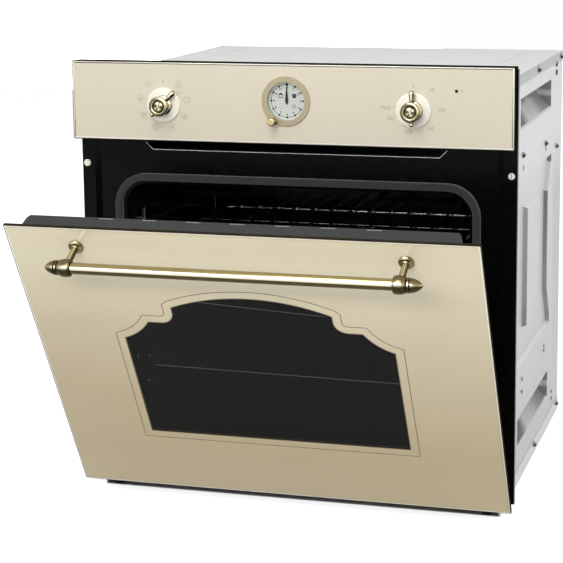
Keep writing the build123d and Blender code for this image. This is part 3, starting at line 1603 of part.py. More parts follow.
def air_duct():
    """The outlet duct from the cooling fan to the slot under the control panel."""
    duct = front_prism(duct_outline(0), frame_face, duct_rear)
    duct -= front_prism(offset(duct_outline(0), amount=-duct_wall, kind=Kind.INTERSECTION),
                        frame_face - 1, duct_rear + 1)
    legs = [block(sign * 150 - 8, sign * 150 + 8, y, y + duct_wall, deck_height, duct_bottom + 0.4)
            for sign in (-1, 1) for y in (60.0, 130.0)]
    return fuse([duct, *legs])


def blower_section(radius, wall):
    """The cooling fan housing's section in Y and Z: a drum with a spout to the duct."""
    drum = Pos(blower_axis_y, blower_axis_z) * Circle(radius)
    y0, y1 = duct_rear, blower_axis_y
    z0 = duct_bottom + wall
    z1 = duct_bottom + duct_height - wall
    spout = Pos((y0 + y1) / 2, (z0 + z1) / 2) * Rectangle(y1 - y0, z1 - z0)
    near = blower_axis_y - radius
    neck = make_face(Polyline((y0 + 14, z0), (y1, z0), (y1, blower_axis_z), (near, blower_axis_z),
                              (near, z1), close=True))
    return drum + spout + neck


def blower_housing():
    """The cooling fan's sheet housing, with its end plates, feet and motor."""
    half = blower_half_length
    wall = blower_wall
    shell = side_prism(blower_section(blower_chamber + wall, 0), -half - wall, half + wall)
    shell -= side_prism(blower_section(blower_chamber, wall), -half, half)
    mouth_top = duct_bottom + duct_height - wall
    shell -= block(-half, half, duct_rear - 1, duct_rear + 2, duct_bottom + wall, mouth_top)
    intake = blower_chamber * 0.7
    shell -= block(-half + 6, half - 6, blower_axis_y, blower_axis_y + blower_chamber + 10,
                   blower_axis_z - intake, blower_axis_z + intake)
    bore = blower_shaft + 2 * shaft_clearance
    motor = rod((half + wall, blower_axis_y, blower_axis_z),
                (half + wall + blower_motor_length, blower_axis_y, blower_axis_z), blower_motor_diameter)
    feet = [block(x - 8, x + 8, blower_axis_y - 8, blower_axis_y + 8, deck_height, duct_bottom + 1.5)
            for x in (-half + 20, half - 20)]
    housing = fuse([shell, motor, *feet])
    shaft_hole = rod((-half - wall - 1, blower_axis_y, blower_axis_z),
                     (half + wall + blower_motor_length / 2, blower_axis_y, blower_axis_z), bore)
    return housing - shaft_hole


def blower_rotor():
    """The cooling fan's drum rotor and shaft."""
    y, z = blower_axis_y, blower_axis_z
    half = blower_rotor_half_length
    discs = [rod((x, y, z), (x + 1.5, y, z), 2 * blower_rotor_radius) for x in (-half, -0.75, half - 1.5)]
    shaft = rod((-blower_half_length - blower_wall, y, z),
                (blower_half_length + blower_wall + blower_motor_length / 2 - 1, y, z), blower_shaft)
    pieces = [*discs, shaft]
    inner = blower_rotor_radius - blower_blade_length
    for index in range(blower_blades):
        blade = block(-half + 0.5, half - 0.5, y - blower_blade_thickness / 2, y + blower_blade_thickness / 2,
                      z + inner, z + blower_rotor_radius - 0.5)
        blade = blade.rotate(Axis((0, y, z + inner), (1, 0, 0)), 24)
        pieces.append(blade.rotate(Axis((0, y, z), (1, 0, 0)), index * 360 / blower_blades))
    return fuse(pieces)


def terminal_block():
    """The mains terminal block on the inside of the rear panel."""
    x0 = gland_x + 30
    z0 = gland_z - terminal_height / 2
    block_body = block(x0, x0 + terminal_width, rear_inner - terminal_depth, rear_inner, z0,
                       z0 + terminal_height)
    for index in range(3):
        x = x0 + terminal_width * (index + 0.5) / 3
        block_body -= rod((x, rear_inner - terminal_depth - 1, gland_z),
                          (x, rear_inner - terminal_depth + 6, gland_z), 7)
    return block_body


def cable_gland():
    """The cable outlet's gland in the rear panel, empty of any cord."""
    neck = gland_hole / 2 - seat_clearance
    flange, bore = gland_flange / 2, gland_bore / 2
    points = [
        (-10, bore),
        (-10, neck),
        (sheet, neck),
        (sheet, flange),
        (sheet + 3, flange),
        (sheet + 9, bore + 3),
        (sheet + 9, bore),
    ]
    return turned_steps(points, (gland_x, rear_inner, gland_z), (0, 1, 0))


# Assembly

def open_door(piece):
    """Swings a door piece from shut to its photographed angle."""
    return piece.rotate(Axis((0, hinge_y, hinge_z), (1, 0, 0)), rest_opening)


def cabinet_nodes():
    """Every piece that stands still."""
    right_side = side_panel() + rear_flanges()
    left_side = mirror(right_side, about=Plane.YZ)
    return {
        "side_panel_left": left_side,
        "side_panel_right": right_side,
        "carry_pockets": carry_pockets(),
        "top_cover": top_cover(),
        "base_plate": base_plate(),
        "rear_panel": rear_panel(),
        "front_frame": front_frame(),
        "casing_screws": casing_screws(),
        "fixing_screws": fixing_screws(),
        "fixing_screw_cap": fixing_screw_cap(),
        "cavity_liner": cavity_liner(),
        "cavity_gasket": cavity_gasket(),
        "insulation": insulation(),
        "cooling_deck": cooling_deck(),
        "fascia_glass": fascia_glass(),
        "fascia_backing": fascia_backing(),
        "pilot_lamp": pilot_lamp(),
        "function_switch": switch_body(-knob_x),
        "thermostat": switch_body(knob_x),
        "thermostat_probe": thermostat_probe(),
        "timer_bezel": timer_bezel(),
        "timer_dial": timer_dial(),
        "timer_glass": timer_glass(),
        "timer_movement": timer_movement(),
        "shelf_racks": both_sides(shelf_rack()),
        "grill_element": grill_element(),
        "floor_heater": floor_heater(),
        "ring_heater": ring_heater(),
        "fan_baffle": fan_baffle(),
        "fan_motor": fan_motor(),
        "lamp_holder": lamp_holder(),
        "lamp_bulb": lamp_bulb(),
        "lamp_lens": lamp_lens(),
        "air_duct": air_duct(),
        "blower_housing": blower_housing(),
        "terminal_block": terminal_block(),
        "cable_gland": cable_gland(),
        "hinge_cassettes": both_sides(hinge_cassette()),
    }


def door_nodes():
    """Every piece of the door, drawn shut."""
    return {
        "door_outer_glass": door_outer_glass(),
        "door_print": door_print(),
        "door_middle_glass": door_middle_glass(),
        "door_inner_glass": door_inner_glass(),
        "door_top_rail": door_top_rail(),
        "door_bottom_rail": door_bottom_rail(),
        "door_side_rails": both_sides(door_side_rail()),
        "hinge_arms": both_sides(hinge_arm()),
        "handle_bar": handle_bar(),
        "handle_ends": both_sides(handle_end()),
        "handle_posts": both_sides(handle_post()),
        "handle_screws": both_sides(handle_screw()),
    }


def moving_nodes():
    """The knobs, fans, shelf and tray."""
    return {
        "function_knob_skirt": knob_skirt(-knob_x),
        "function_knob_hub": knob_hub(-knob_x, function_pointer_angle),
        "thermostat_knob_skirt": knob_skirt(knob_x),
        "thermostat_knob_hub": knob_hub(knob_x, 0),
        "timer_knob": timer_knob(),
        "timer_hand": timer_hand(),
        "fan_impeller": fan_impeller(),
        "blower_rotor": blower_rotor(),
        "wire_shelf": wire_shelf(),
        "baking_tray": baking_tray(),
    }


def solids_of(shape):
    """The separate solids of a piece or of a group of pieces."""
    pieces = shape if isinstance(shape, list) else [shape]
    return [solid for piece in pieces for solid in piece.solids()]


def main():
    """Writes one file per node."""
    os.makedirs("parts", exist_ok=True)
    nodes = cabinet_nodes()
    for name, piece in door_nodes().items():
        nodes[name] = [open_door(solid) for solid in solids_of(piece)]
    nodes.update(moving_nodes())
    place = Pos(0, -origin_depth, 0)
    for name, piece in nodes.items():
        solids = [place * solid for solid in solids_of(piece)]
        shape = solids[0] if len(solids) == 1 else Compound(children=solids)
        export_step(shape, os.path.join("parts", name + ".step"))
    print(len(nodes), "nodes written")
    print("window area", round(window_sketch(0).area), "mm2")


main()
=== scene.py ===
import json
import math

import bmesh
import bpy
from mathutils import Matrix, Vector


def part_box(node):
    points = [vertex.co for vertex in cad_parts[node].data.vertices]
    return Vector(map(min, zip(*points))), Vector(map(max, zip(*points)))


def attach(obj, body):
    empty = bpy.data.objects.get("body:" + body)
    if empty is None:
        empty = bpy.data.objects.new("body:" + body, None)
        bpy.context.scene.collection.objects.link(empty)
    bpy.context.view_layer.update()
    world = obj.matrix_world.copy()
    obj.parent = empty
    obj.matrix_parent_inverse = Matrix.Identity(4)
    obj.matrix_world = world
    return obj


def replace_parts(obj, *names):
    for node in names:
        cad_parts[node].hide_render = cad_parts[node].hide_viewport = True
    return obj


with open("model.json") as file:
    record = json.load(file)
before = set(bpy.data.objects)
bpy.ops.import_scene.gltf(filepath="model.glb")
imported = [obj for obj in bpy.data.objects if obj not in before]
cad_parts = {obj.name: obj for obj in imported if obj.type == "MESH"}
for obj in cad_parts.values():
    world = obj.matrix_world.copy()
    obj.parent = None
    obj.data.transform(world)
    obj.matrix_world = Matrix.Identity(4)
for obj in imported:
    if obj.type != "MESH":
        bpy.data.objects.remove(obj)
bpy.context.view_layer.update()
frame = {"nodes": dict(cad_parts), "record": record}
nodes = frame["nodes"]

# Lengths are millimetres from the front glass, as in the part: X right, Y into the oven, Z up.
DEPTH_SHIFT = 295.5
HALF_FRONT = 297.5
GLASS_CORNER = 2.0
DOOR_BOTTOM = 26.0
DOOR_TOP = 485.5
DOOR_ANGLE = 30.0
HINGE_DEPTH = 25.0
HINGE_HEIGHT = 30.0
HANDLE_X = 207.0
PANEL_BOTTOM = 490.0
PANEL_TOP = 595.0
KNOB_X = 168.0
KNOB_Z = 538.0
TIMER_Z = 546.3
FIXING_X = 289.5
FIXING_Z = 454.0
POCKET_LOW = 49.0
POCKET_HIGH = 495.0
POCKET_HEIGHT = 41.0
POCKET_FRONT = 170.0
POCKET_REAR = 447.0


def at(x, y, z):
    return Vector((x / 1000, (y - DEPTH_SHIFT) / 1000, z / 1000))


HINGE = at(0, HINGE_DEPTH, HINGE_HEIGHT)
DOOR = (Matrix.Translation(HINGE) @ Matrix.Rotation(math.radians(DOOR_ANGLE), 4, "X")
        @ Matrix.Translation(-HINGE))


# Material helpers

class Nodes:
    """A node tree, with short ways to add procedural detail."""

    def __init__(self, tree):
        self.tree = tree
        self.coords = None

    def add(self, kind, **settings):
        n = self.tree.nodes.new(kind)
        for key, value in settings.items():
            setattr(n, key, value)
        return n

    def link(self, a, b):
        self.tree.links.new(a, b)

    def place(self, stretch=(1, 1, 1)):
        if self.coords is None:
            self.coords = self.add("ShaderNodeTexCoord")
        mapping = self.add("ShaderNodeMapping")
        mapping.inputs["Scale"].default_value = stretch
        self.link(self.coords.outputs["Object"], mapping.inputs["Vector"])
        return mapping.outputs["Vector"]

    def noise(self, scale, detail=4.0, stretch=(1, 1, 1), rough=0.55):
        n = self.add("ShaderNodeTexNoise")
        n.inputs["Scale"].default_value = scale
        n.inputs["Detail"].default_value = detail
        n.inputs["Roughness"].default_value = rough
        self.link(self.place(stretch), n.inputs["Vector"])
        return n.outputs["Fac"]

    def span(self, value, low, high, start=0.0, end=1.0):
        """A value that runs from start to end while another runs from low to high."""
        n = self.add("ShaderNodeMapRange")
        n.inputs["From Min"].default_value = low
        n.inputs["From Max"].default_value = high
        n.inputs["To Min"].default_value = start
        n.inputs["To Max"].default_value = end
        self.link(value, n.inputs["Value"])
        return n.outputs["Result"]

    def math(self, operation, a, b=None):
        n = self.add("ShaderNodeMath", operation=operation)
        for socket, value in zip(n.inputs, (a, b)):
            if value is None:
                continue
            if isinstance(value, (int, float)):
                socket.default_value = value
            else:
                self.link(value, socket)
        return n.outputs[0]

    def product(self, first, *others):
        for other in others:
            first = self.math("MULTIPLY", first, other)
        return first

    def total(self, a, b):
        return self.math("ADD", a, b)

    def less(self, a, b):
        return self.math("SUBTRACT", a, b)

    def axis(self, name):
        n = self.add("ShaderNodeSeparateXYZ")
        self.link(self.place(), n.inputs[0])
        return n.outputs[name]

    def by_depth(self, start, end):
        """A value that runs from 0 to 1 between two depths."""
        return self.span(self.axis("Y"), (start - DEPTH_SHIFT) / 1000, (end - DEPTH_SHIFT) / 1000)

    def polar(self, x, z):
        """Distance from an axis that runs into the oven, and the angle round it."""
        dx = self.less(self.axis("X"), x / 1000)
        dz = self.less(self.axis("Z"), z / 1000)
        square = self.total(self.product(dx, dx), self.product(dz, dz))
        return self.math("SQRT", square), self.math("ARCTAN2", dz, dx)

    def facing(self, name):
        """One component of the surface's direction."""
        geometry = self.add("ShaderNodeNewGeometry")
        parts = self.add("ShaderNodeSeparateXYZ")
        self.link(geometry.outputs["Normal"], parts.inputs[0])
        return parts.outputs[name]

    def mix(self, fac, a, b):
        n = self.add("ShaderNodeMix", data_type="RGBA")
        self.link(fac, n.inputs["Factor"])
        for socket, value in ((n.inputs[6], a), (n.inputs[7], b)):
            if isinstance(value, tuple):
                socket.default_value = (*value, 1.0)
            else:
                self.link(value, socket)
        return n.outputs[2]

    def mottle(self, a, b, scale, detail=4.0, contrast=(0.3, 0.7)):
        """Two colours mixed by noise."""
        return self.mix(self.span(self.noise(scale, detail), *contrast), a, b)

    def ramp(self, value, stops):
        """A colour read from a row of places between 0 and 1."""
        n = self.add("ShaderNodeValToRGB")
        points = n.color_ramp.elements
        for place, _ in stops[1:-1]:
            points.new(place)
        for point, (place, colour) in zip(points, stops):
            point.position = place
            point.color = (*colour, 1.0)
        self.link(value, n.inputs["Fac"])
        return n.outputs["Color"]

    def background(self):
        """1 for camera, mirror and glass rays, and 0 for the rays that light a matte surface."""
        path = self.add("ShaderNodeLightPath")
        seen = self.math("MAXIMUM", path.outputs["Is Camera Ray"], path.outputs["Is Glossy Ray"])
        return self.math("MAXIMUM", seen, path.outputs["Is Transmission Ray"])


class Shader(Nodes):
    """A Principled material."""

    def __init__(self, name, **values):
        self.m = bpy.data.materials.new(name)
        self.m.use_nodes = True
        super().__init__(self.m.node_tree)
        self.bsdf = self.tree.nodes["Principled BSDF"]
        for key, value in values.items():
            socket = self.bsdf.inputs[key.replace("_", " ")]
            socket.default_value = (*value, 1.0) if isinstance(value, tuple) else value

    def color(self, out):
        self.link(out, self.bsdf.inputs["Base Color"])
        return self

    def rough(self, out):
        self.link(out, self.bsdf.inputs["Roughness"])
        return self

    def grain(self, low, high, scale, detail=4.0, contrast=(0.3, 0.7)):
        """A roughness that noise varies between two values."""
        return self.rough(self.span(self.noise(scale, detail), *contrast, low, high))

    def bump(self, height, strength, distance):
        n = self.add("ShaderNodeBump")
        n.inputs["Strength"].default_value = strength
        n.inputs["Distance"].default_value = distance
        self.link(height, n.inputs["Height"])
        self.link(n.outputs["Normal"], self.bsdf.inputs["Normal"])
        return self


# Materials

def grey(shade):
    return (shade, shade, shade)


def plain(name, a, b, scale, rough, contrast=(0.35, 0.65), **values):
    """Two colours mixed by noise, a roughness range and a fine bump."""
    s = Shader(name, **values)
    s.color(s.mottle(a, b, scale, contrast=contrast))
    s.grain(*rough, scale * 0.6)
    return s.bump(s.noise(scale * 2), 0.05, 0.0004).m


def enamelled_glass(name):
    return Shader(name, Roughness=0.4, Coat_Weight=1.0, Coat_Roughness=0.02, Specular_IOR_Level=0.3)


def ivory_panel():
    s = enamelled_glass("ivory_panel")
    return s.color(s.mottle((0.695, 0.635, 0.490), (0.715, 0.655, 0.510), 900, 2)).m


def ivory_door():
    """The door's enamel with painted shade: browner lower down and to the left, and a little paler again at
    its foot.
    """
    s = enamelled_glass("ivory_door")
    pale = s.mottle((0.775, 0.700, 0.490), (0.795, 0.720, 0.510), 900, 2)
    # Painted shade: the enamel darkens towards the left and lower down, where less light falls.
    x, z = s.axis("X"), s.axis("Z")
    left = s.product(s.span(x, 0.10, -0.28, 0.0, 0.28), s.span(z, 0.43, 0.33))
    lower = s.math("MINIMUM", s.total(s.span(z, 0.43, 0.14), left), 1.0)
    shaded_ivory = s.mix(lower, pale, (0.575, 0.460, 0.265))
    return s.color(s.mix(s.span(z, 0.10, 0.02), shaded_ivory, (0.645, 0.535, 0.320))).m


# Painted highlight: the polished bevel is coloured near white, paler than the enamel, so that it shows as a
# bright line round the plate.
def bevel_glass():
    s = Shader("glass_bevel_highlight", Roughness=0.15, Coat_Weight=0.6, Coat_Roughness=0.03)
    return s.color(s.mottle((0.93, 0.89, 0.76), (0.98, 0.94, 0.82), 60)).m


# Painted shade: the outer band of the bevel and the glass's edge faces are near black with no reflection, as
# a dark outline round the plate.
def edge_glass():
    s = Shader("glass_edge_shade", Roughness=0.25, IOR=1.0)
    return s.color(s.mottle((0.022, 0.017, 0.011), (0.040, 0.032, 0.022), 60)).m


def clear(name, shade, alpha, scale, rough, **values):
    """Clear glass that its alpha makes more or less dark, with faint smears."""
    s = Shader(name, Base_Color=shade, Roughness=0.03, Alpha=alpha, **values)
    return s.grain(0.02, rough, scale, 3, (0.35, 0.65)).m


def sheet_steel(name, metallic, specular, low, high):
    """Galvanised sheet with a fine, faint spangle: its shader, and the colour still to be set on it."""
    s = Shader(name, Metallic=metallic, Roughness=0.45, Specular_IOR_Level=specular)
    spangle = s.add("ShaderNodeTexVoronoi")
    spangle.inputs["Scale"].default_value = 260
    s.link(s.place(), spangle.inputs["Vector"])
    flakes = s.add("ShaderNodeSeparateColor")
    s.link(spangle.outputs["Color"], flakes.inputs[0])
    tone = s.total(s.product(flakes.outputs[0], 0.3), s.product(s.noise(9, 4), 0.7))
    s.rough(s.span(tone, 0.2, 0.8, 0.36, 0.46))
    s.bump(s.noise(30, 3), 0.02, 0.001)
    return s, s.mix(s.span(tone, 0.2, 0.8), low, high)


def galvanised():
    s, sheet = sheet_steel("galvanised", 0.3, 0.25, (0.70, 0.71, 0.715), (0.78, 0.785, 0.79))
    return s.color(sheet).m


def cover_steel():
    s, sheet = sheet_steel("cover_steel", 0.0, 0.04, (0.75, 0.745, 0.74), (0.80, 0.795, 0.79))
    return s.color(sheet).m


def side_steel():
    """The side panels, with painted light and shade: the steep walls of their pressed field are painted dark
    and streaky as shade and dim reflection, the ones that face up are painted bright as a highlight, and the
    sheet is painted paler near the top and darker lower down and towards the rear.
    """
    s, sheet = sheet_steel("side_steel", 0.2, 0.2, (0.73, 0.735, 0.74), (0.80, 0.805, 0.81))
    # Painted shade and highlight by facing: dark streaky walls and bright crests.
    out = s.math("ABSOLUTE", s.facing("X"))
    steep = s.product(s.span(out, 0.85, 0.75), s.span(out, 0.15, 0.25))
    reflection_streak = s.span(s.noise(22, 3, (1, 1, 0.15)), 0.35, 0.65)
    wall_shade = s.mix(reflection_streak, (0.20, 0.20, 0.195), (0.42, 0.42, 0.41))
    walls = s.product(steep, s.span(s.math("ABSOLUTE", s.facing("Y")), 0.3, 0.7))
    crests = s.product(steep, s.span(s.facing("Z"), 0.3, 0.7))
    # Painted shade: darker lower down and towards the lower rear, paler near the top.
    rear = s.product(s.span(s.axis("Y"), 0.17, 0.20), s.span(s.axis("Z"), 0.50, 0.40))
    shade = s.math("MAXIMUM", rear, s.span(s.axis("Z"), 0.33, 0.10, 0.0, 0.9))
    low = s.mix(shade, sheet, (0.62, 0.625, 0.63))
    sheet = s.mix(s.span(s.axis("Z"), 0.36, 0.46), low, (0.93, 0.93, 0.935))
    return s.color(s.mix(crests, s.mix(walls, sheet, wall_shade), grey(0.98))).m


def pocket_steel():
    """Bare sheet drawn deep, with painted light and shade: a grey wall painted dark as shade, a slope
    painted from dark to light as a reflection, a bright painted highlight across the rear end and a white
    painted highlight along the lower lip.
    """
    s = Shader("pocket_steel", Roughness=0.5, IOR=1.2)
    along = s.by_depth(POCKET_FRONT, POCKET_REAR)
    upper = s.math("GREATER_THAN", s.axis("Z"), 0.3)
    base = s.span(upper, 0.0, 1.0, POCKET_LOW / 1000, POCKET_HIGH / 1000)
    rise = s.math("DIVIDE", s.less(s.axis("Z"), base), POCKET_HEIGHT / 1000)
    sway = s.product(s.less(s.noise(14, 2), 0.5), 0.25)
    slope = s.total(s.less(along, s.product(rise, 0.25)), sway)
    # Painted reflection: the slope runs from dark to near white and back along the pocket.
    sheen = s.ramp(slope, [(0.0, (0.17, 0.17, 0.165)), (0.20, (0.26, 0.26, 0.255)),
                           (0.34, (0.85, 0.85, 0.84)), (0.55, (0.80, 0.80, 0.79)),
                           (0.75, (0.42, 0.42, 0.415)), (1.0, (0.30, 0.30, 0.295))])
    wall = s.mix(s.span(along, 0.3, 0.9), (0.27, 0.27, 0.265), (0.40, 0.40, 0.395))
    level = s.total(rise, sway)
    inner = s.mix(s.span(level, 0.50, 0.60), sheen, wall)
    # Painted highlight: a near white band across the rear end that faces the front.
    rear = s.mix(s.span(s.math("ABSOLUTE", s.less(level, 0.55)), 0.06, 0.16), (0.98, 0.98, 0.97),
                 (0.42, 0.42, 0.415))
    body = s.mix(s.span(s.facing("Y"), -0.6, -0.8), inner, rear)
    # Painted highlight: a near white line along the lower lip.
    s.color(s.mix(s.span(rise, 0.07, 0.03), body, grey(0.95)))
    return s.grain(0.45, 0.6, 90, 3).m


def shelf_wire():
    """Chromed wire painted dark as shade, with a bright painted highlight along its rear cross wire."""
    s = Shader("shelf_wire", Metallic=1.0, Roughness=0.15)
    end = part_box("wire_shelf")[1][1]
    rear = s.span(s.axis("Y"), end - 0.012, end - 0.010)
    s.color(s.mix(rear, s.mottle(grey(0.07), grey(0.14), 160), grey(0.98)))
    return s.grain(0.12, 0.22, 160).m


def screw_dome():
    """A dark screw head, with a painted highlight where it faces up."""
    s = Shader("screw_dome", Roughness=0.3, IOR=1.2)
    tone = s.mottle(grey(0.05), grey(0.09), 500)
    return s.color(s.mix(s.span(s.facing("Z"), 0.25, 0.6), tone, (0.62, 0.62, 0.61))).m


def screw_finish():
    """The frame's two screws: a cream cap on the left, bare bright metal on the right."""
    s = Shader("screw_finish", Roughness=0.3)
    s.color(s.mix(s.span(s.axis("X"), -0.01, 0.01), (0.90, 0.87, 0.78), grey(0.80)))
    return s.grain(0.22, 0.34, 300).m


def beige_ring():
    """Beige enamel, with the bare grey wall of the bore that the dial lies in."""
    s = Shader("beige_ring", Roughness=0.4, Specular_IOR_Level=0.2)
    r, _ = s.polar(0, TIMER_Z)
    bore = s.product(s.span(r, 0.0256, 0.0252), s.by_depth(-2.0, -1.4))
    enamel = s.mottle((0.455, 0.385, 0.250), (0.485, 0.415, 0.275), 700, contrast=(0.35, 0.65))
    s.color(s.mix(bore, enamel, (0.46, 0.51, 0.48)))
    s.grain(0.34, 0.44, 420)
    return s.bump(s.noise(1400), 0.03, 0.0002).m


# Painted reflection and shade for brass, read from how far a surface faces up: near black where it faces
# down, gold where it faces up.
BRASS_SHADES = [(0.0, (0.045, 0.036, 0.014)), (0.38, (0.055, 0.044, 0.017)), (0.47, (0.12, 0.095, 0.038)),
                (0.53, (0.40, 0.315, 0.140)), (0.62, (0.46, 0.370, 0.180)), (0.80, (0.34, 0.270, 0.120)),
                (0.92, (0.34, 0.270, 0.120)), (1.0, (0.50, 0.410, 0.210))]
# Painted highlights for the handle's posts, read from how far a surface faces right: two bright bands
# between dark sides.
POST_SHADES = [(0.0, (0.07, 0.055, 0.022)), (0.24, (0.22, 0.175, 0.080)), (0.36, (0.95, 0.87, 0.62)),
               (0.46, (0.42, 0.335, 0.150)), (0.56, (0.50, 0.400, 0.190)), (0.66, (0.98, 0.90, 0.66)),
               (0.78, (0.24, 0.190, 0.085)), (1.0, (0.05, 0.040, 0.016))]


def brass_tones(s):
    """Brass painted with reflection and shade: dark where it faces down."""
    return s.ramp(s.span(s.facing("Z"), -1, 1), BRASS_SHADES)


def shaded_brass(s, glare=0.93):
    """Aged brass, with painted reflection and shade by facing, and a painted highlight band where it faces a
    little above level.
    """
    shades = brass_tones(s)
    level = s.total(s.product(s.facing("Y"), -0.98), s.product(s.facing("Z"), 0.20))
    lit = s.mix(s.span(level, glare, 0.985), shades, (0.98, 0.92, 0.74))
    return s.mix(s.span(s.noise(55, 5, rough=0.6), 0.45, 0.75, 0.0, 0.15), lit, (0.16, 0.12, 0.05))


def brass():
    s = Shader("brass", Metallic=1.0, Roughness=0.2)
    s.color(shaded_brass(s))
    s.grain(0.14, 0.24, 260)
    return s.bump(s.noise(900, 2), 0.015, 0.0002).m


def post_brass():
    """The handle's posts, with two painted highlight bands along them, on rosettes painted darker as shade
    where they face right.
    """
    s = Shader("post_brass", Metallic=1.0, Roughness=0.2)
    out = DOOR.to_3x3() @ Vector((0, -1, 0))
    plane = out.dot(DOOR @ at(0, 0, DOOR_TOP))
    above = s.less(s.total(s.product(s.axis("Y"), out.y), s.product(s.axis("Z"), out.z)), plane)
    rosette = s.mix(s.span(s.facing("X"), -0.35, 0.35), shaded_brass(s), (0.17, 0.135, 0.058))
    post_highlights = s.ramp(s.span(s.facing("X"), -1, 1), POST_SHADES)
    s.color(s.mix(s.span(above, 0.0045, 0.0055), rosette, post_highlights))
    return s.grain(0.16, 0.26, 260).m


def timer_brass():
    """The timer's setting button, with a plain gold front and painted reflection and shade on its sides,
    dark where they face down.
    """
    s = Shader("timer_brass", Metallic=1.0, Roughness=0.25)
    front = s.span(s.math("ABSOLUTE", s.facing("Y")), 0.80, 0.95)
    s.color(s.mix(front, brass_tones(s), (0.62, 0.50, 0.26)))
    return s.grain(0.18, 0.28, 260).m


def end_brass():
    """The handle's ends: brass painted with light and shade by facing, near black where it faces down and
    dark olive where it faces up, and near black in the grooves between their rings.
    """
    s = Shader("end_brass", Metallic=1.0, Roughness=0.2)
    away = s.product(s.less(s.math("ABSOLUTE", s.axis("X")), HANDLE_X / 1000), 1000)
    grooves = 0.0
    for low, high in ((-9.0, -7.3), (7.5, 9.8), (11.4, 13.6)):
        groove = s.product(s.span(away, low, low + 0.3), s.span(away, high, high - 0.3))
        grooves = s.math("MAXIMUM", grooves, groove)
    # Painted shade and reflection: dark olive where the ends face up, near black where they face down.
    end_shading = s.mix(s.span(s.facing("Z"), 0.30, 0.65), shaded_brass(s), (0.17, 0.135, 0.060))
    end_shading = s.mix(s.span(s.facing("Z"), -0.05, 0.25), (0.035, 0.028, 0.012), end_shading)
    s.color(s.mix(grooves, end_shading, (0.014, 0.010, 0.005)))
    return s.grain(0.14, 0.24, 260).m


def hub_brass(x):
    """Turned brass with painted light and shade: a bright rim, an olive band with a painted highlight
    crescent, and a dark dish round the cap.
    """
    s = Shader("hub_brass", Metallic=1.0, Roughness=0.2)
    r, angle = s.polar(x, KNOB_Z)
    front = s.by_depth(-19.2, -20.2)
    waist = s.by_depth(-15.8, -14.6)
    shoulder = s.product(s.by_depth(-8.5, -9.6), s.span(r, 0.0118, 0.0112))
    base = s.mix(s.product(waist, shoulder, 0.6), shaded_brass(s, 0.80), (0.07, 0.055, 0.03))
    # Painted highlight: a light crescent on the olive band, towards one angle.
    glance = s.math("COSINE", s.less(angle, 0.9))
    olive = s.mix(s.span(glance, 0.35, 0.95), (0.16, 0.135, 0.070), (0.92, 0.80, 0.54))
    band = s.product(s.span(r, 0.0121, 0.0117), front)
    dish = s.product(s.span(r, 0.0088, 0.0084), front)
    lip = s.mix(s.span(r, 0.0097, 0.0094), olive, (0.60, 0.51, 0.30))
    s.color(s.mix(dish, s.mix(band, base, lip), (0.030, 0.027, 0.015)))
    s.grain(0.14, 0.26, 300, 3)
    return s.bump(s.product(s.math("SINE", s.product(r, 9000)), front), 0.08, 0.0001).m


def cap_brass(x):
    """The knob's turned cap, with light and dark sectors painted as the highlight that fine turning gives, a
    painted highlight at its middle, and dark round its edge.
    """
    s = Shader("cap_brass", Metallic=1.0, Roughness=0.28, Anisotropic=0.7)
    r, angle = s.polar(x, KNOB_Z)
    sector = s.math("ABSOLUTE", s.math("COSINE", s.less(angle, 1.9)))
    second = s.math("ABSOLUTE", s.math("COSINE", s.less(angle, 0.55)))
    light = s.math("MAXIMUM", s.span(sector, 0.80, 0.99), s.span(second, 0.90, 1.0, 0.0, 0.7))
    middle = s.math("MAXIMUM", light, s.span(r, 0.0016, 0.0006))
    turned = s.mix(middle, (0.13, 0.115, 0.062), (0.80, 0.71, 0.48))
    s.color(s.mix(s.span(r, 0.0058, 0.0064), turned, (0.05, 0.045, 0.026)))
    return s.bump(s.math("SINE", s.product(r, 14000)), 0.06, 0.0001).m


def woven(name, a, b, scale, rough):
    s = Shader(name, Sheen_Weight=0.3)
    wave = s.add("ShaderNodeTexWave", wave_type="BANDS", bands_direction="DIAGONAL")
    wave.inputs["Scale"].default_value = scale
    wave.inputs["Distortion"].default_value = 2.0
    s.link(s.place(), wave.inputs["Vector"])
    threads = wave.outputs["Fac"]
    s.color(s.mix(threads, a, b))
    s.rough(s.span(threads, 0, 1, *rough))
    return s.bump(threads, 0.4, 0.0008).m


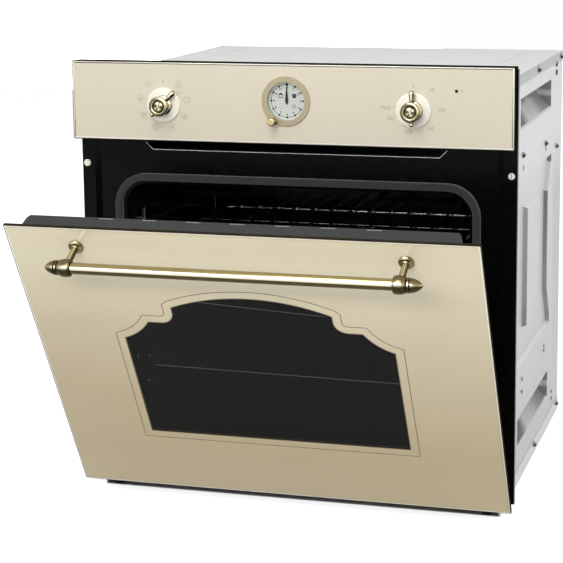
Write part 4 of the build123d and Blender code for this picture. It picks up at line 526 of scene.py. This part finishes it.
look = {
    "ivory_panel": ivory_panel(),
    "ivory_door": ivory_door(),
    "bevel": bevel_glass(),
    "glass_edge_shade": edge_glass(),
    "window": clear("window_glass", grey(0.0035), 0.8, 14, 0.05, Specular_IOR_Level=0.09),
    "clear_pane": clear("clear_pane", (0.03, 0.032, 0.032), 0.42, 20, 0.06),
    "clear_glass": clear("clear_glass", grey(0.02), 0.07, 40, 0.05),
    "galvanised": galvanised(),
    "cover": cover_steel(),
    "side": side_steel(),
    "pocket": pocket_steel(),
    "shelf": shelf_wire(),
    "head": screw_dome(),
    "screws": screw_finish(),
    "brass": brass(),
    "end_brass": end_brass(),
    "timer_brass": timer_brass(),
    "post_brass": post_brass(),
    "hub_left": hub_brass(-KNOB_X),
    "hub_right": hub_brass(KNOB_X),
    "cap_left": cap_brass(-KNOB_X),
    "cap_right": cap_brass(KNOB_X),
    "beige": beige_ring(),
    "black": plain("black_frame", grey(0.0014), grey(0.0026), 120, (0.16, 0.26), Specular_IOR_Level=0.08),
    "enamel": plain("cavity_enamel", (0.004, 0.004, 0.005), (0.03, 0.03, 0.033), 900, (0.10, 0.2),
                    contrast=(0.6, 0.72), Specular_IOR_Level=0.3),
    "zinc": plain("zinc_steel", (0.62, 0.61, 0.58), (0.80, 0.79, 0.76), 220, (0.22, 0.36), Metallic=1.0),
    # Painted shade: the hinges are made near black for the shade under the door.
    "hinge": plain("hinge_steel", grey(0.020), grey(0.035), 90, (0.5, 0.6), IOR=1.05),
    "bracket": plain("bracket_steel", grey(0.22), grey(0.32), 90, (0.35, 0.5), Metallic=0.5),
    "cream": plain("cream_plastic", (0.94, 0.90, 0.77), (0.97, 0.93, 0.80), 300, (0.16, 0.24),
                   Coat_Weight=0.5),
    "dial": plain("dial_white", (0.80, 0.82, 0.76), (0.84, 0.86, 0.80), 500, (0.45, 0.55)),
    "ink": plain("brown_ink", (0.36, 0.28, 0.17), (0.42, 0.33, 0.21), 900, (0.4, 0.5)),
    "print_and_shade_black": plain("print_and_shade_black", (0.006, 0.006, 0.005), (0.014, 0.014, 0.012), 900, (0.5, 0.6), IOR=1.0),
    "line_ink": plain("line_ink", (0.17, 0.13, 0.07), (0.22, 0.17, 0.09), 900, (0.4, 0.5)),
    "hand": plain("hand_black", (0.012, 0.012, 0.010), (0.02, 0.02, 0.016), 600, (0.2, 0.3)),
    # Painted shade: the chromed racks are made dark, as they stand in the shaded oven.
    "chrome": plain("chromed_wire", grey(0.10), grey(0.18), 160, (0.12, 0.22), Metallic=0.8),
    # The heating element is dark steel, made near black with no reflection as painted shade.
    "heater": plain("heater_steel", grey(0.002), grey(0.005), 240, (0.5, 0.7), IOR=1.0),
    # Painted shade: the galvanised duct is made near black for the shade inside it.
    "duct": plain("duct_painted_shade", grey(0.004), grey(0.008), 200, (0.4, 0.6), Specular_IOR_Level=0.1),
    "lip": plain("duct_lip", grey(0.80), grey(0.92), 300, (0.2, 0.3)),
    # Painted reflection of the handle's posts on the door.
    "reflection_streak": plain("post_reflection_white", (0.96, 0.94, 0.86), (0.99, 0.97, 0.90), 300, (0.2, 0.3)),
    "glint": plain("glass_glint", (0.09, 0.088, 0.080), (0.13, 0.127, 0.115), 300, (0.2, 0.3)),
    "backing": plain("backing_black", grey(0.004), grey(0.008), 200, (0.4, 0.5), IOR=1.0),
    "slot_grey": plain("slot_grey", grey(0.16), grey(0.20), 300, (0.3, 0.4)),
    # Painted shadow: near black with no reflection.
    "hole": plain("painted_shadow_black", grey(0.002), grey(0.006), 300, (0.6, 0.8), IOR=1.0),
    "motor": plain("motor_steel", grey(0.42), grey(0.55), 150, (0.3, 0.45), Metallic=0.9),
    "fan": plain("fan_steel", grey(0.60), grey(0.72), 150, (0.25, 0.4), Metallic=0.9),
    "ceramic": plain("ceramic", (0.80, 0.78, 0.72), (0.86, 0.84, 0.78), 250, (0.2, 0.3)),
    "switch": plain("switch_plastic", (0.72, 0.70, 0.64), (0.78, 0.76, 0.70), 300, (0.4, 0.5)),
    "gland": plain("gland_plastic", grey(0.012), grey(0.02), 400, (0.4, 0.55)),
    "copper": plain("copper_probe", (0.52, 0.25, 0.14), (0.70, 0.36, 0.20), 300, (0.22, 0.35), Metallic=1.0),
    "rail": plain("rail_dark", (0.030, 0.030, 0.031), grey(0.042), 400, (0.36, 0.46),
                  Specular_IOR_Level=0.15),
    "pilot": plain("pilot_lens", (0.010, 0.005, 0.003), (0.018, 0.009, 0.006), 800, (0.2, 0.3), IOR=1.2),
    "gasket": woven("gasket_braid", grey(0.007), grey(0.020), 500, (0.75, 0.9)),
    "wool": woven("glass_wool", (0.56, 0.48, 0.28), (0.74, 0.68, 0.48), 180, (0.9, 1.0)),
}
by_slot = {
    "galvanised": "galvanised", "black_enamel": "black", "cavity_enamel": "enamel", "zinc_steel": "zinc",
    "cream_plastic": "cream", "gasket_braid": "gasket", "glass_wool": "wool", "ivory_glass": "ivory_panel",
    "ivory_print": "ivory_door", "window_glass": "window", "clear_glass": "clear_pane",
    "bracket_steel": "bracket", "pilot_lens": "pilot", "switch_plastic": "switch", "copper_probe": "copper",
    "beige_enamel": "beige", "dial_white": "dial", "chromed_wire": "chrome", "heater_steel": "heater",
    "motor_steel": "motor", "fan_steel": "fan", "ceramic": "ceramic", "gland_plastic": "gland",
    "rail_aluminium": "rail", "antique_brass": "brass", "hand_black": "hand",
}
by_node = {
    "function_knob_hub": "hub_left", "thermostat_knob_hub": "hub_right", "timer_glass": "clear_glass",
    "lamp_lens": "clear_glass", "lamp_bulb": "clear_glass", "air_duct": "duct", "top_cover": "cover",
    "side_panel_left": "side", "side_panel_right": "side", "carry_pockets": "pocket", "wire_shelf": "shelf",
    "fixing_screws": "screws", "fascia_backing": "backing", "handle_ends": "end_brass",
    "handle_posts": "post_brass", "timer_knob": "timer_brass", "hinge_arms": "hinge",
    "hinge_cassettes": "hinge",
}
for part in frame["record"]["subparts"]:
    chosen = by_node.get(part["node"], by_slot[part["material_slot"]])
    for slot in nodes[part["node"]].material_slots:
        slot.material = look[chosen]


# Mesh helpers

def piece(name, bm, body, slot_name, *looks):
    """A named piece that rides on a body and takes its finish from the looks given; the slot of the record
    that it is given is not used.
    """
    mesh = bpy.data.meshes.new(name)
    bm.to_mesh(mesh)
    bm.free()
    o = bpy.data.objects.new(name, mesh)
    bpy.context.scene.collection.objects.link(o)
    for name_of_look in looks:
        mesh.materials.append(look[name_of_look])
    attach(o, body)
    return o


def door_piece(name, bm, slot_name, *looks):
    """A piece that was drawn on the shut door, turned to the rest angle, with its own coordinates kept."""
    o = piece(name, bm, "door", slot_name, *looks)
    o.matrix_world = DOOR @ o.matrix_world
    return o


def arc(cx, cz, r, start, end, steps):
    """Points on an arc, angles in degrees counted from +X towards +Z."""
    turns = [math.radians(start + (end - start) * i / steps) for i in range(steps + 1)]
    return [(cx + r * math.cos(t), cz + r * math.sin(t)) for t in turns]


def circle(x, z, r, steps):
    return arc(x, z, r, 0, 360, steps)[:-1]


def near(angle, other):
    """The same direction, counted so that it lies within half a turn of another one."""
    return other + math.remainder(angle - other, 2 * math.pi)


def through(a, b, c, steps):
    """Points on the arc through three points."""
    (ax, az), (bx, bz), (cx, cz) = a, b, c
    aa, bb, cc = ax * ax + az * az, bx * bx + bz * bz, cx * cx + cz * cz
    d = 2 * (ax * (bz - cz) + bx * (cz - az) + cx * (az - bz))
    x = (aa * (bz - cz) + bb * (cz - az) + cc * (az - bz)) / d
    z = (aa * (cx - bx) + bb * (ax - cx) + cc * (bx - ax)) / d
    start, middle, end = (math.atan2(pz - z, px - x) for px, pz in (a, b, c))
    end = near(end, near(middle, start))
    return arc(x, z, math.hypot(ax - x, az - z), math.degrees(start), math.degrees(end), steps)


def offset(points, amount):
    """A closed outline moved outward; the outline runs anticlockwise."""
    moved = []
    for i, (x, z) in enumerate(points):
        px, pz = points[i - 1]
        nx, nz = points[(i + 1) % len(points)]
        d1 = Vector((x - px, z - pz)).normalized()
        d2 = Vector((nx - x, nz - z)).normalized()
        n1 = Vector((d1.y, -d1.x))
        n2 = Vector((d2.y, -d2.x))
        n = (n1 + n2).normalized()
        corner = max(n.dot(n1), 0.4)
        moved.append((x + n.x * amount / corner, z + n.y * amount / corner))
    return moved


def fill(loops, y):
    """A flat filled shape from an outline and its holes, facing the front."""
    bm = bmesh.new()
    edges = []
    for loop in loops:
        verts = [bm.verts.new(at(x, y, z)) for x, z in loop]
        edges += [bm.edges.new((verts[i - 1], verts[i])) for i in range(len(verts))]
    bmesh.ops.triangle_fill(bm, edges=edges, use_beauty=True, use_dissolve=False)
    for face in bm.faces:
        if face.normal.y > 0:
            face.normal_flip()
    return bm


def flat(bm, points, y):
    """One flat face at a depth."""
    bm.faces.new([bm.verts.new(at(x, y, z)) for x, z in points])


def ribbon(bm, inner, outer, y, closed=True):
    """The flat band between two lines with as many points."""
    a = [bm.verts.new(at(x, y, z)) for x, z in inner]
    b = [bm.verts.new(at(x, y, z)) for x, z in outer]
    for i in range(len(a) if closed else len(a) - 1):
        j = (i + 1) % len(a)
        bm.faces.new((a[i], a[j], b[j], b[i]))


def circle_line(bm, x, z, r, width, y, steps=28):
    ribbon(bm, circle(x, z, r - width / 2, steps), circle(x, z, r + width / 2, steps), y)


def stroke(bm, x0, z0, x1, z1, width, y):
    d = Vector((x1 - x0, z1 - z0)).normalized() * width / 2
    flat(bm, [(x0 - d.y, z0 + d.x), (x0 + d.y, z0 - d.x), (x1 + d.y, z1 - d.x), (x1 - d.y, z1 + d.x)], y)


def disc(bm, x, z, r, y, steps=16):
    flat(bm, circle(x, z, r, steps), y)


def around(x, z, r, angle):
    """A point at a clock angle, degrees clockwise from up."""
    a = math.radians(angle)
    return x + r * math.sin(a), z + r * math.cos(a)


def front_outline(bottom, top):
    """The outline of a glass as wide as the front, with small round corners."""
    r = GLASS_CORNER
    points = []
    for x, z, start in ((HALF_FRONT - r, bottom + r, -90), (HALF_FRONT - r, top - r, 0),
                        (r - HALF_FRONT, top - r, 90), (r - HALF_FRONT, bottom + r, 180)):
        points += arc(x, z, r, start, start + 90, 5)
    return points


# The section of a glass plate's rim: how far out it lies, and its depth
PLATE_SECTION = ((-3.4, 0.0), (-1.3, 0.35), (-0.15, 0.8), (0.0, 1.2), (0.0, 3.8), (-0.5, 4.3))


def glass_plate(outline, holes):
    """A glass plate with a polished bevel. Its materials are the front, the bevel and the edge."""
    rims = [(offset(outline, out), depth) for out, depth in PLATE_SECTION]
    bm, back = [fill([rim] + holes, depth) for rim, depth in (rims[0], rims[-1])]
    front_faces = len(bm.faces)
    mesh = bpy.data.meshes.new("back")
    back.to_mesh(mesh)
    back.free()
    bm.from_mesh(mesh)
    bm.faces.ensure_lookup_table()
    for face in bm.faces[front_faces:]:
        face.normal_flip()
    for index, ((a, ya), (b, yb)) in enumerate(zip(rims, rims[1:])):
        va = [bm.verts.new(at(x, ya, z)) for x, z in a]
        vb = [bm.verts.new(at(x, yb, z)) for x, z in b]
        for i in range(len(va)):
            j = (i + 1) % len(va)
            bm.faces.new((va[i], vb[i], vb[j], va[j])).material_index = 1 if index == 0 else 2
    bmesh.ops.remove_doubles(bm, verts=bm.verts, dist=1e-6)
    return bm


# Door glass with its stepped arch window, heights counted from the door's lower edge
WINDOW_SIDE = 176.0
WINDOW_FOOT = 109.0
WINDOW_SHOULDER = 279.0
SHOULDER_MIDDLE = (155.0, 290.8)
STEP_X = 139.0
STEP_Z = 308.5
NOTCH_X = 121.0
NOTCH_RADIUS = 17.6
NOTCH_TOP = 334.5
ARCH_FOOT = (101.5, 336.0)
ARCH_CROWN = 356.8
WINDOW_DEPTH = 0.06
GLINT_DEPTH = 0.03
LINE_DEPTH = -0.02


def window_outline():
    right = [(WINDOW_SIDE, WINDOW_FOOT)]
    right += through((WINDOW_SIDE, WINDOW_SHOULDER), SHOULDER_MIDDLE, (STEP_X, STEP_Z), 10)
    right += arc(NOTCH_X, STEP_Z + NOTCH_RADIUS, NOTCH_RADIUS, 270, 180, 12)
    right += [(NOTCH_X - NOTCH_RADIUS, NOTCH_TOP), ARCH_FOOT]
    left = [(-x, z) for x, z in reversed(right)]
    arch = through(ARCH_FOOT, (0.0, ARCH_CROWN), left[0], 40)[1:-1]
    return [(x, z + DOOR_BOTTOM) for x, z in right + arch + left]


window = window_outline()
door_face = door_piece("door_face", glass_plate(front_outline(DOOR_BOTTOM, DOOR_TOP), [window]),
                       "ivory_print", "ivory_door", "bevel", "glass_edge_shade")
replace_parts(door_face, "door_outer_glass", "door_print")
door_piece("door_window", fill([window], WINDOW_DEPTH), "window_glass", "window")

lines = bmesh.new()
for inner, outer in ((10.8, 12.0), (-0.2, 0.9)):
    ribbon(lines, offset(window, inner), offset(window, outer), LINE_DEPTH)
door_piece("door_line", lines, "ivory_print", "line_ink")

# Painted reflection: light lines on the door's glass above the handle's posts, where the glass reflects
# them.
post_reflections = bmesh.new()
for x0, z0, x1, z1 in ((-201.5, 465.5, -189.0, 483.0), (204.5, 463.5, 214.5, 482.0)):
    for shift in (-1.7, 1.3):
        stroke(post_reflections, x0 + shift, z0, x1 + shift, z1, 0.9, LINE_DEPTH)
door_piece("handle_reflections", post_reflections, "ivory_print", "reflection_streak")

# Painted highlights: thin grey lines and dots on the window glass.
glints = bmesh.new()
for x0, z0, x1, z1, width in ((-146, 259.2, 175, 253.6, 0.7), (-80, 374.5, 96, 360.6, 0.6),
                              (-152, 275.4, -148, 275.2, 1.0), (-162, 229.6, -158, 229.4, 1.0),
                              (-165.7, 268, -165.7, 278, 0.6)):
    stroke(glints, x0, z0, x1, z1, width, GLINT_DEPTH)
door_piece("window_glints", glints, "window_glass", "glint")

RAIL_TOP = 484.4
RAIL_SLOT_PITCH = 56.0
RAIL_SLOT = ((-9, 19.7), (9, 19.7), (9, 22.0), (-9, 22.0))
slots = bmesh.new()
for index in range(-3, 4):
    slots.faces.new([slots.verts.new(at(index * RAIL_SLOT_PITCH + dx, y, RAIL_TOP)) for dx, y in RAIL_SLOT])
door_piece("rail_slots", slots, "rail_aluminium", "slot_grey")

# Control panel glass, with holes for the knobs, the timer, its button and the pilot lamp
BUTTON_X = -16.0
BUTTON_Z = 520.69
PILOT_X = 223.2
PILOT_Z = 563.8
panel_holes = [circle(-KNOB_X, KNOB_Z, 5.5, 24), circle(KNOB_X, KNOB_Z, 5.5, 24),
               circle(0, TIMER_Z, 27.0, 96), circle(BUTTON_X, BUTTON_Z, 2.0, 16),
               circle(PILOT_X, PILOT_Z, 2.1, 24)]
panel_face = piece("panel_face", glass_plate(front_outline(PANEL_BOTTOM, PANEL_TOP), panel_holes), "cabinet",
                   "ivory_glass", "ivory_panel", "bevel", "glass_edge_shade")
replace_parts(panel_face, "fascia_glass")

# Knob caps, from the radii and depths of their domes
CAP_STEPS = 48
CAP_FRONT = -21.75
CAP_SECTION = ((1.5, -21.72), (3.0, -21.62), (4.5, -21.45), (5.7, -21.2), (6.4, -20.9), (6.6, -20.3))


def knob_cap(name, x, body, look_name):
    bm = bmesh.new()
    rings = [[bm.verts.new(at(px, y, pz)) for px, pz in circle(x, KNOB_Z, r, CAP_STEPS)]
             for r, y in CAP_SECTION]
    centre = bm.verts.new(at(x, CAP_FRONT, KNOB_Z))
    for i in range(CAP_STEPS):
        j = (i + 1) % CAP_STEPS
        bm.faces.new((centre, rings[0][i], rings[0][j]))
        for inner, outer in zip(rings, rings[1:]):
            bm.faces.new((inner[i], outer[i], outer[j], inner[j]))
    bmesh.ops.recalc_face_normals(bm, faces=bm.faces)
    for face in bm.faces:
        face.smooth = True
    piece(name, bm, body, "antique_brass", look_name)


knob_cap("function_cap", -KNOB_X, "function_knob", "cap_left")
knob_cap("thermostat_cap", KNOB_X, "thermostat_knob", "cap_right")

# The bright edge of the air duct: pale bare sheet, brightened as a painted highlight
lip = bmesh.new()
ribbon(lip, [(-205.4, 484.4), (-195.7, 474.8), (195.7, 474.8), (205.4, 484.4)],
       [(-206.0, 484.0), (-196.0, 474.0), (196.0, 474.0), (206.0, 484.0)], 29.85, closed=False)
piece("duct_lip", lip, "cabinet", "galvanised", "lip")

# The timer's hand, a blade with a raised middle
HALF_HAND = [(0.35, 18.6), (2.0, 1.6), (1.9, -0.2), (1.3, -2.6), (0.8, -4.0)]
HAND = HALF_HAND + [(-x, z) for x, z in reversed(HALF_HAND)]
HAND_FRONT = 2.75
HAND_BACK = 3.2
RIDGE_FRONT = 2.4
hand = bmesh.new()
edge = [hand.verts.new(at(x, HAND_FRONT, TIMER_Z + z)) for x, z in HAND]
under = [hand.verts.new(at(x, HAND_BACK, TIMER_Z + z)) for x, z in HAND]
ridge = [hand.verts.new(at(0, RIDGE_FRONT, TIMER_Z + z)) for z in (18.2, 1.6, -3.4)]
for i in range(len(HAND)):
    j = (i + 1) % len(HAND)
    hand.faces.new((edge[i], under[i], under[j], edge[j]))
hand.faces.new(under)
for ring in ((0, 1, "b", "a"), (1, 2, "b"), (2, 3, "c", "b"), (3, 4, "c"), (4, 5, "c"), (5, 6, "c"),
             (6, 7, "b", "c"), (7, 8, "b"), (8, 9, "a", "b"), (9, 0, "a")):
    hand.faces.new([edge[k] if isinstance(k, int) else ridge["abc".index(k)] for k in ring])
bmesh.ops.recalc_face_normals(hand, faces=hand.faces)
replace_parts(piece("hand_blade", hand, "timer_pointer", "hand_black", "hand"), "timer_hand")


# Printed marks

def add_text(bm, body, size, x, z, y, swell=0.0):
    """Flat lettering for a dial, centred on a point of the front."""
    curve = bpy.data.curves.new("mark", "FONT")
    curve.body = body
    curve.size = size / 1000
    curve.align_x = "CENTER"
    curve.align_y = "CENTER"
    curve.offset = swell / 1000
    curve.resolution_u = 3
    o = bpy.data.objects.new("mark", curve)
    bpy.context.scene.collection.objects.link(o)
    bpy.context.view_layer.update()
    mesh = bpy.data.meshes.new_from_object(o.evaluated_get(bpy.context.evaluated_depsgraph_get()))
    bpy.data.objects.remove(o)
    mesh.transform(Matrix.Translation(at(x, y, z)) @ Matrix.Rotation(math.radians(90), 4, "X"))
    bm.from_mesh(mesh)


MARK_DEPTH = -0.03
SCALE_Z = 540.2
# Which of the eight signs round the function knob show a lamp, a bar above or below, and a fan
LAMP_SIGNS = (1, 8)
UPPER_BAR_SIGNS = (2, 5, 6)
LOWER_BAR_SIGNS = (3, 5, 7)
FAN_SIGNS = (3, 4, 6, 7)

marks = bmesh.new()


def zero_mark(x, width):
    stroke(marks, *around(x, SCALE_Z, 27.0, 0), *around(x, SCALE_Z, 30.2, 0), width, MARK_DEPTH)


def sign(k):
    """One of the signs round the function knob: a ring with its dot and what it holds."""
    x, z = around(-KNOB_X, SCALE_Z, 33, 40 * k)
    circle_line(marks, x, z, 4.4, 0.40, MARK_DEPTH)
    disc(marks, *around(-KNOB_X, SCALE_Z, 26.8, 40 * k), 0.5, MARK_DEPTH, 10)
    if k in LAMP_SIGNS:
        disc(marks, x, z, 1.1, MARK_DEPTH)
        for ray in range(6):
            stroke(marks, *around(x, z, 1.9, ray * 60), *around(x, z, 2.9, ray * 60), 0.35, MARK_DEPTH)
    for up, signs in ((1.9, UPPER_BAR_SIGNS), (-1.9, LOWER_BAR_SIGNS)):
        if k in signs:
            stroke(marks, x - 2.4, z + up, x + 2.4, z + up, 0.5, MARK_DEPTH)
    if k in FAN_SIGNS:
        for blade in range(4):
            circle_line(marks, *around(x, z, 1.0, 45 + blade * 90), 0.8, 0.35, MARK_DEPTH, 12)


zero_mark(-KNOB_X, 1.3)
for k in range(1, 9):
    sign(k)
zero_mark(KNOB_X, 1.1)
for angle in (40, 88, 138, 192, 248, 276):
    disc(marks, *around(KNOB_X, SCALE_Z, 26.2, angle), 0.5, MARK_DEPTH, 10)
stroke(marks, 228.6, 563.0, 229.6, 565.6, 0.5, MARK_DEPTH)
stroke(marks, 229.6, 565.6, 231.4, 562.6, 0.5, MARK_DEPTH)
for label, dx, dz in (("50", 23.3, 26.9), ("100", 36.0, 1.6), ("150", 21.5, -22.5), ("200", -6.0, -27.0),
                      ("250", -30.5, -10.9), ("MAX", -36.2, 2.9)):
    add_text(marks, label, 6.6, KNOB_X + dx, KNOB_Z + dz, MARK_DEPTH)
piece("panel_marks", marks, "cabinet", "ivory_glass", "ink")

# The dial: hours inside a ring of dots, a bell, a cooking pot and a sun
DIAL_DEPTH = 4.77
dial = bmesh.new()
ribbon(dial, arc(0, TIMER_Z, 21.0, 330, 95, 60), arc(0, TIMER_Z, 21.6, 330, 95, 60),
       DIAL_DEPTH, closed=False)
for hour in range(1, 13):
    disc(dial, *around(0, TIMER_Z, 21.3, hour * 30), 1.9 if hour == 12 else 1.35, DIAL_DEPTH, 12)
    add_text(dial, str(hour), 3.9, *around(0, TIMER_Z, 17.6, hour * 30), DIAL_DEPTH, 0.12)
x, z = -8.4, TIMER_Z + 6.6
circle_line(dial, x, z, 2.9, 0.9, DIAL_DEPTH, 24)
flat(dial, arc(x, z + 0.9, 2.7, 5, 175, 14), DIAL_DEPTH)
x = 9.6
for dx in (-1.9, 0.0, 1.9):
    disc(dial, x + dx, z + 1.6, 1.1, DIAL_DEPTH, 10)
stroke(dial, x - 3.2, z, x + 3.2, z, 0.8, DIAL_DEPTH)
flat(dial, arc(x, z - 0.5, 2.5, 180, 360, 12), DIAL_DEPTH)
x, z = 9.3, TIMER_Z - 7.2
circle_line(dial, x, z, 1.9, 0.5, DIAL_DEPTH, 20)
for ray in range(8):
    stroke(dial, *around(x, z, 2.4, ray * 45), *around(x, z, 3.0, ray * 45), 0.4, DIAL_DEPTH)
stroke(dial, -8.6, TIMER_Z - 6.2, -6.6, TIMER_Z - 6.2, 0.3, DIAL_DEPTH)
stroke(dial, -8.0, TIMER_Z - 10.0, -6.2, TIMER_Z - 10.0, 0.3, DIAL_DEPTH)
piece("timer_marks", dial, "cabinet", "dial_white", "print_and_shade_black")

# Casing screws: domed heads with a cross recess
SIDE_SCREWS = ((278, 190, 458.5), (278, 396, 448), (278, 507.5, 429.5), (279, 314, 563.5), (279, 538, 563.5),
               (279, 314, 14.0), (279, 538, 14.0))
REAR_SCREW_X = 269
REAR_SCREW_HEIGHTS = (40, 210, 380, 540)
CASING_REAR = 560
HEAD_RADIUS = 3.4
HEAD_SECTION = ((1.0, 0.0), (1.0, 0.35), (0.86, 0.72), (0.5, 0.95))
HEAD_STEPS = 20
# The cross is in metres
CROSS_REACH = 0.0017
CROSS_HALF_WIDTH = 0.0004
heads = bmesh.new()
cross = bmesh.new()


def screw_head(centre, out, height):
    """A domed head on a casing screw, and the dark cross in it, painted as the shade in its recess."""
    out = Vector(out)
    a = out.orthogonal().normalized()
    b = out.cross(a)
    rings = []
    for share, rise in HEAD_SECTION:
        middle = centre + out * height * rise / 1000
        ring = []
        for i in range(HEAD_STEPS):
            t = 2 * math.pi * i / HEAD_STEPS
            way = a * math.cos(t) + b * math.sin(t)
            ring.append(heads.verts.new(middle + way * HEAD_RADIUS * share / 1000))
        rings.append(ring)
    for low, high in zip(rings, rings[1:]):
        for i in range(HEAD_STEPS):
            j = (i + 1) % HEAD_STEPS
            heads.faces.new((low[i], low[j], high[j], high[i])).smooth = True
    heads.faces.new(rings[-1])
    top = centre + out * (height * 0.95 + 0.02) / 1000
    for u, v in ((a, b), (b, a)):
        ring = [top + u * su * CROSS_REACH + v * sv * CROSS_HALF_WIDTH
                for su, sv in ((1, 1), (-1, 1), (-1, -1), (1, -1))]
        cross.faces.new([cross.verts.new(p) for p in ring])


for side in (-1, 1):
    for x, y, z in SIDE_SCREWS:
        screw_head(at(side * x, y, z), (side, 0, 0), 3.2)
    for z in REAR_SCREW_HEIGHTS:
        screw_head(at(side * REAR_SCREW_X, CASING_REAR, z), (0, 1, 0), 2.1)
bmesh.ops.recalc_face_normals(heads, faces=heads.faces)
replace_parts(piece("casing_heads", heads, "cabinet", "zinc_steel", "head"), "casing_screws")
# The crosses are painted shade, in the same black as the dial's print.
piece("screw_crosses", cross, "cabinet", "zinc_steel", "print_and_shade_black")

# Painted shadow: near black rings round the side screws, and near black shapes for the dark inside behind
# the slots and holes
SIDE_FACE = 278.04
shadow_shapes = bmesh.new()


def side_shape(side, x, ring):
    """A flat shape on a side of the casing, from points of depth and height."""
    shadow_shapes.faces.new([shadow_shapes.verts.new(at(side * x, y, z)) for y, z in ring])


def oblong(y, z, dy, dz):
    return (y - dy, z - dz), (y + dy, z - dz), (y + dy, z + dz), (y - dy, z + dz)


for side in (-1, 1):
    for x, y, z in SIDE_SCREWS:
        outer = arc(y, z, 4.6, 0, 360, 24)
        inner = arc(y, z, 3.3, 0, 360, 24)
        for i in range(24):
            side_shape(side, x + 0.05, (outer[i], outer[i + 1], inner[i + 1], inner[i]))
    for y, z in ((500, 555), (500, 542.5)):
        side_shape(side, SIDE_FACE, oblong(y, z, 5.5, 3.8))
    for y, z in ((195, 440.5), (400, 440.5)):
        side_shape(side, SIDE_FACE, oblong(y, z, 1.8, 4))
    for y, z in ((202, 142.5), (202, 124), (405, 140), (405, 132.5), (489.5, 46), (489.5, 35.5)):
        side_shape(side, SIDE_FACE, circle(y, z, 3.1, 16))
piece("casing_shadows", shadow_shapes, "cabinet", "galvanised", "hole")

# The frame's screws: a slot painted dark as shade in the bare one, and a ring on the capped one
slot = bmesh.new()
screw_front = (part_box("fixing_screws")[0][1] + DEPTH_SHIFT / 1000) * 1000 - 0.02
stroke(slot, FIXING_X, FIXING_Z - 3.2, FIXING_X, FIXING_Z + 3.2, 1.0, screw_front)
circle_line(slot, -FIXING_X, FIXING_Z, 2.9, 0.4, screw_front)
piece("screw_slot", slot, "cabinet", "zinc_steel", "slot_grey")


# Floor, light and camera, with the sizes and places of the lights in metres

def floor():
    """A pale floor that looks white to the camera and keeps the shadow."""
    s = Shader("floor_paint", Base_Color=grey(0.62), Roughness=0.9, Specular_IOR_Level=0.0,
               Emission_Color=grey(1.0))
    s.link(s.product(s.background(), 0.78), s.bsdf.inputs["Emission Strength"])
    bm = bmesh.new()
    bmesh.ops.create_grid(bm, x_segments=1, y_segments=1, size=14)
    mesh = bpy.data.meshes.new("floor")
    bm.to_mesh(mesh)
    bm.free()
    mesh.materials.append(s.m)
    o = bpy.data.objects.new("floor", mesh)
    o.location = (0, 0, -0.0005)
    bpy.context.scene.collection.objects.link(o)


def lamp(name, size, location, target, energy, seen=True, glossy=True):
    light = bpy.data.lights.new(name, "AREA")
    light.shape = "RECTANGLE"
    light.size, light.size_y = size
    light.energy = energy
    o = bpy.data.objects.new(name, light)
    o.location = location
    o.rotation_euler = (Vector(target) - Vector(location)).to_track_quat("-Z", "Y").to_euler()
    o.visible_camera = seen
    o.visible_glossy = glossy
    bpy.context.scene.collection.objects.link(o)


def studio():
    """A world that lights the object softly and is white behind it."""
    world = bpy.data.worlds.new("studio")
    bpy.context.scene.world = world
    world.use_nodes = True
    sky = Nodes(world.node_tree)
    split = sky.add("ShaderNodeSeparateXYZ")
    sky.link(sky.add("ShaderNodeTexCoord").outputs["Generated"], split.inputs[0])
    shade = sky.ramp(split.outputs["Z"], [(0.0, grey(0.36)), (0.8, grey(0.32))])
    sky.link(sky.mix(sky.background(), shade, grey(1.0)), sky.tree.nodes["Background"].inputs["Color"])


floor()
lamp("front_box", (0.7, 0.7), (0.0, -1.35, 1.5), (0.05, -0.2, 0.45), 8.5)
lamp("low_box", (1.8, 0.5), (0.4, -1.45, 0.50), (0.05, -0.4, 0.50), 1.5, seen=False, glossy=False)
lamp("wire_box", (1.0, 0.22), (-0.1, -1.45, 0.80), (0, 0.2, 0.28), 5.0, seen=False)
lamp("top_box", (1.8, 1.8), (0.0, -0.2, 2.8), (0, 0, 0.3), 16, glossy=False)
lamp("side_box", (2.0, 1.6), (2.8, 0.2, 1.3), (0, 0, 0.3), 16)
lamp("back_box", (2.0, 1.4), (-1.4, 2.8, 0.9), (0, 0, 0.3), 22, glossy=False)
studio()

# The camera's angles in radians, and its focal length and centre in pixels of the photograph's frame
YAW = 0.279
PITCH = 0.173
ROLL = -0.009
FOCAL = 1769.1
CENTRE_X = 312.6
CENTRE_Y = 213.62
FRAME_PX = 563
SENSOR = 36
EYE = at(656.76, -2172.81, 795.82)
right = Vector((math.cos(YAW), math.sin(YAW), 0))
level = Vector((-math.sin(YAW), math.cos(YAW), 0))
up = Vector((0, 0, 1))
ahead = level * math.cos(PITCH) - up * math.sin(PITCH)
top = up * math.cos(PITCH) + level * math.sin(PITCH)
side = right * math.cos(ROLL) + top * math.sin(ROLL)
top = -right * math.sin(ROLL) + top * math.cos(ROLL)
turn = Matrix((side, top, -ahead)).transposed().to_4x4()
data = bpy.data.cameras.new("camera")
data.sensor_width = SENSOR
data.lens = FOCAL * SENSOR / FRAME_PX
data.shift_x = (FRAME_PX / 2 - CENTRE_X) / FRAME_PX
data.shift_y = (CENTRE_Y - FRAME_PX / 2) / FRAME_PX
data.clip_start = 0.05
data.clip_end = 50
camera = bpy.data.objects.new("camera", data)
camera.matrix_world = Matrix.Translation(EYE) @ turn
bpy.context.scene.collection.objects.link(camera)
bpy.context.scene.camera = camera
bpy.context.scene.view_settings.view_transform = "Standard"

bpy.context.view_layer.update()
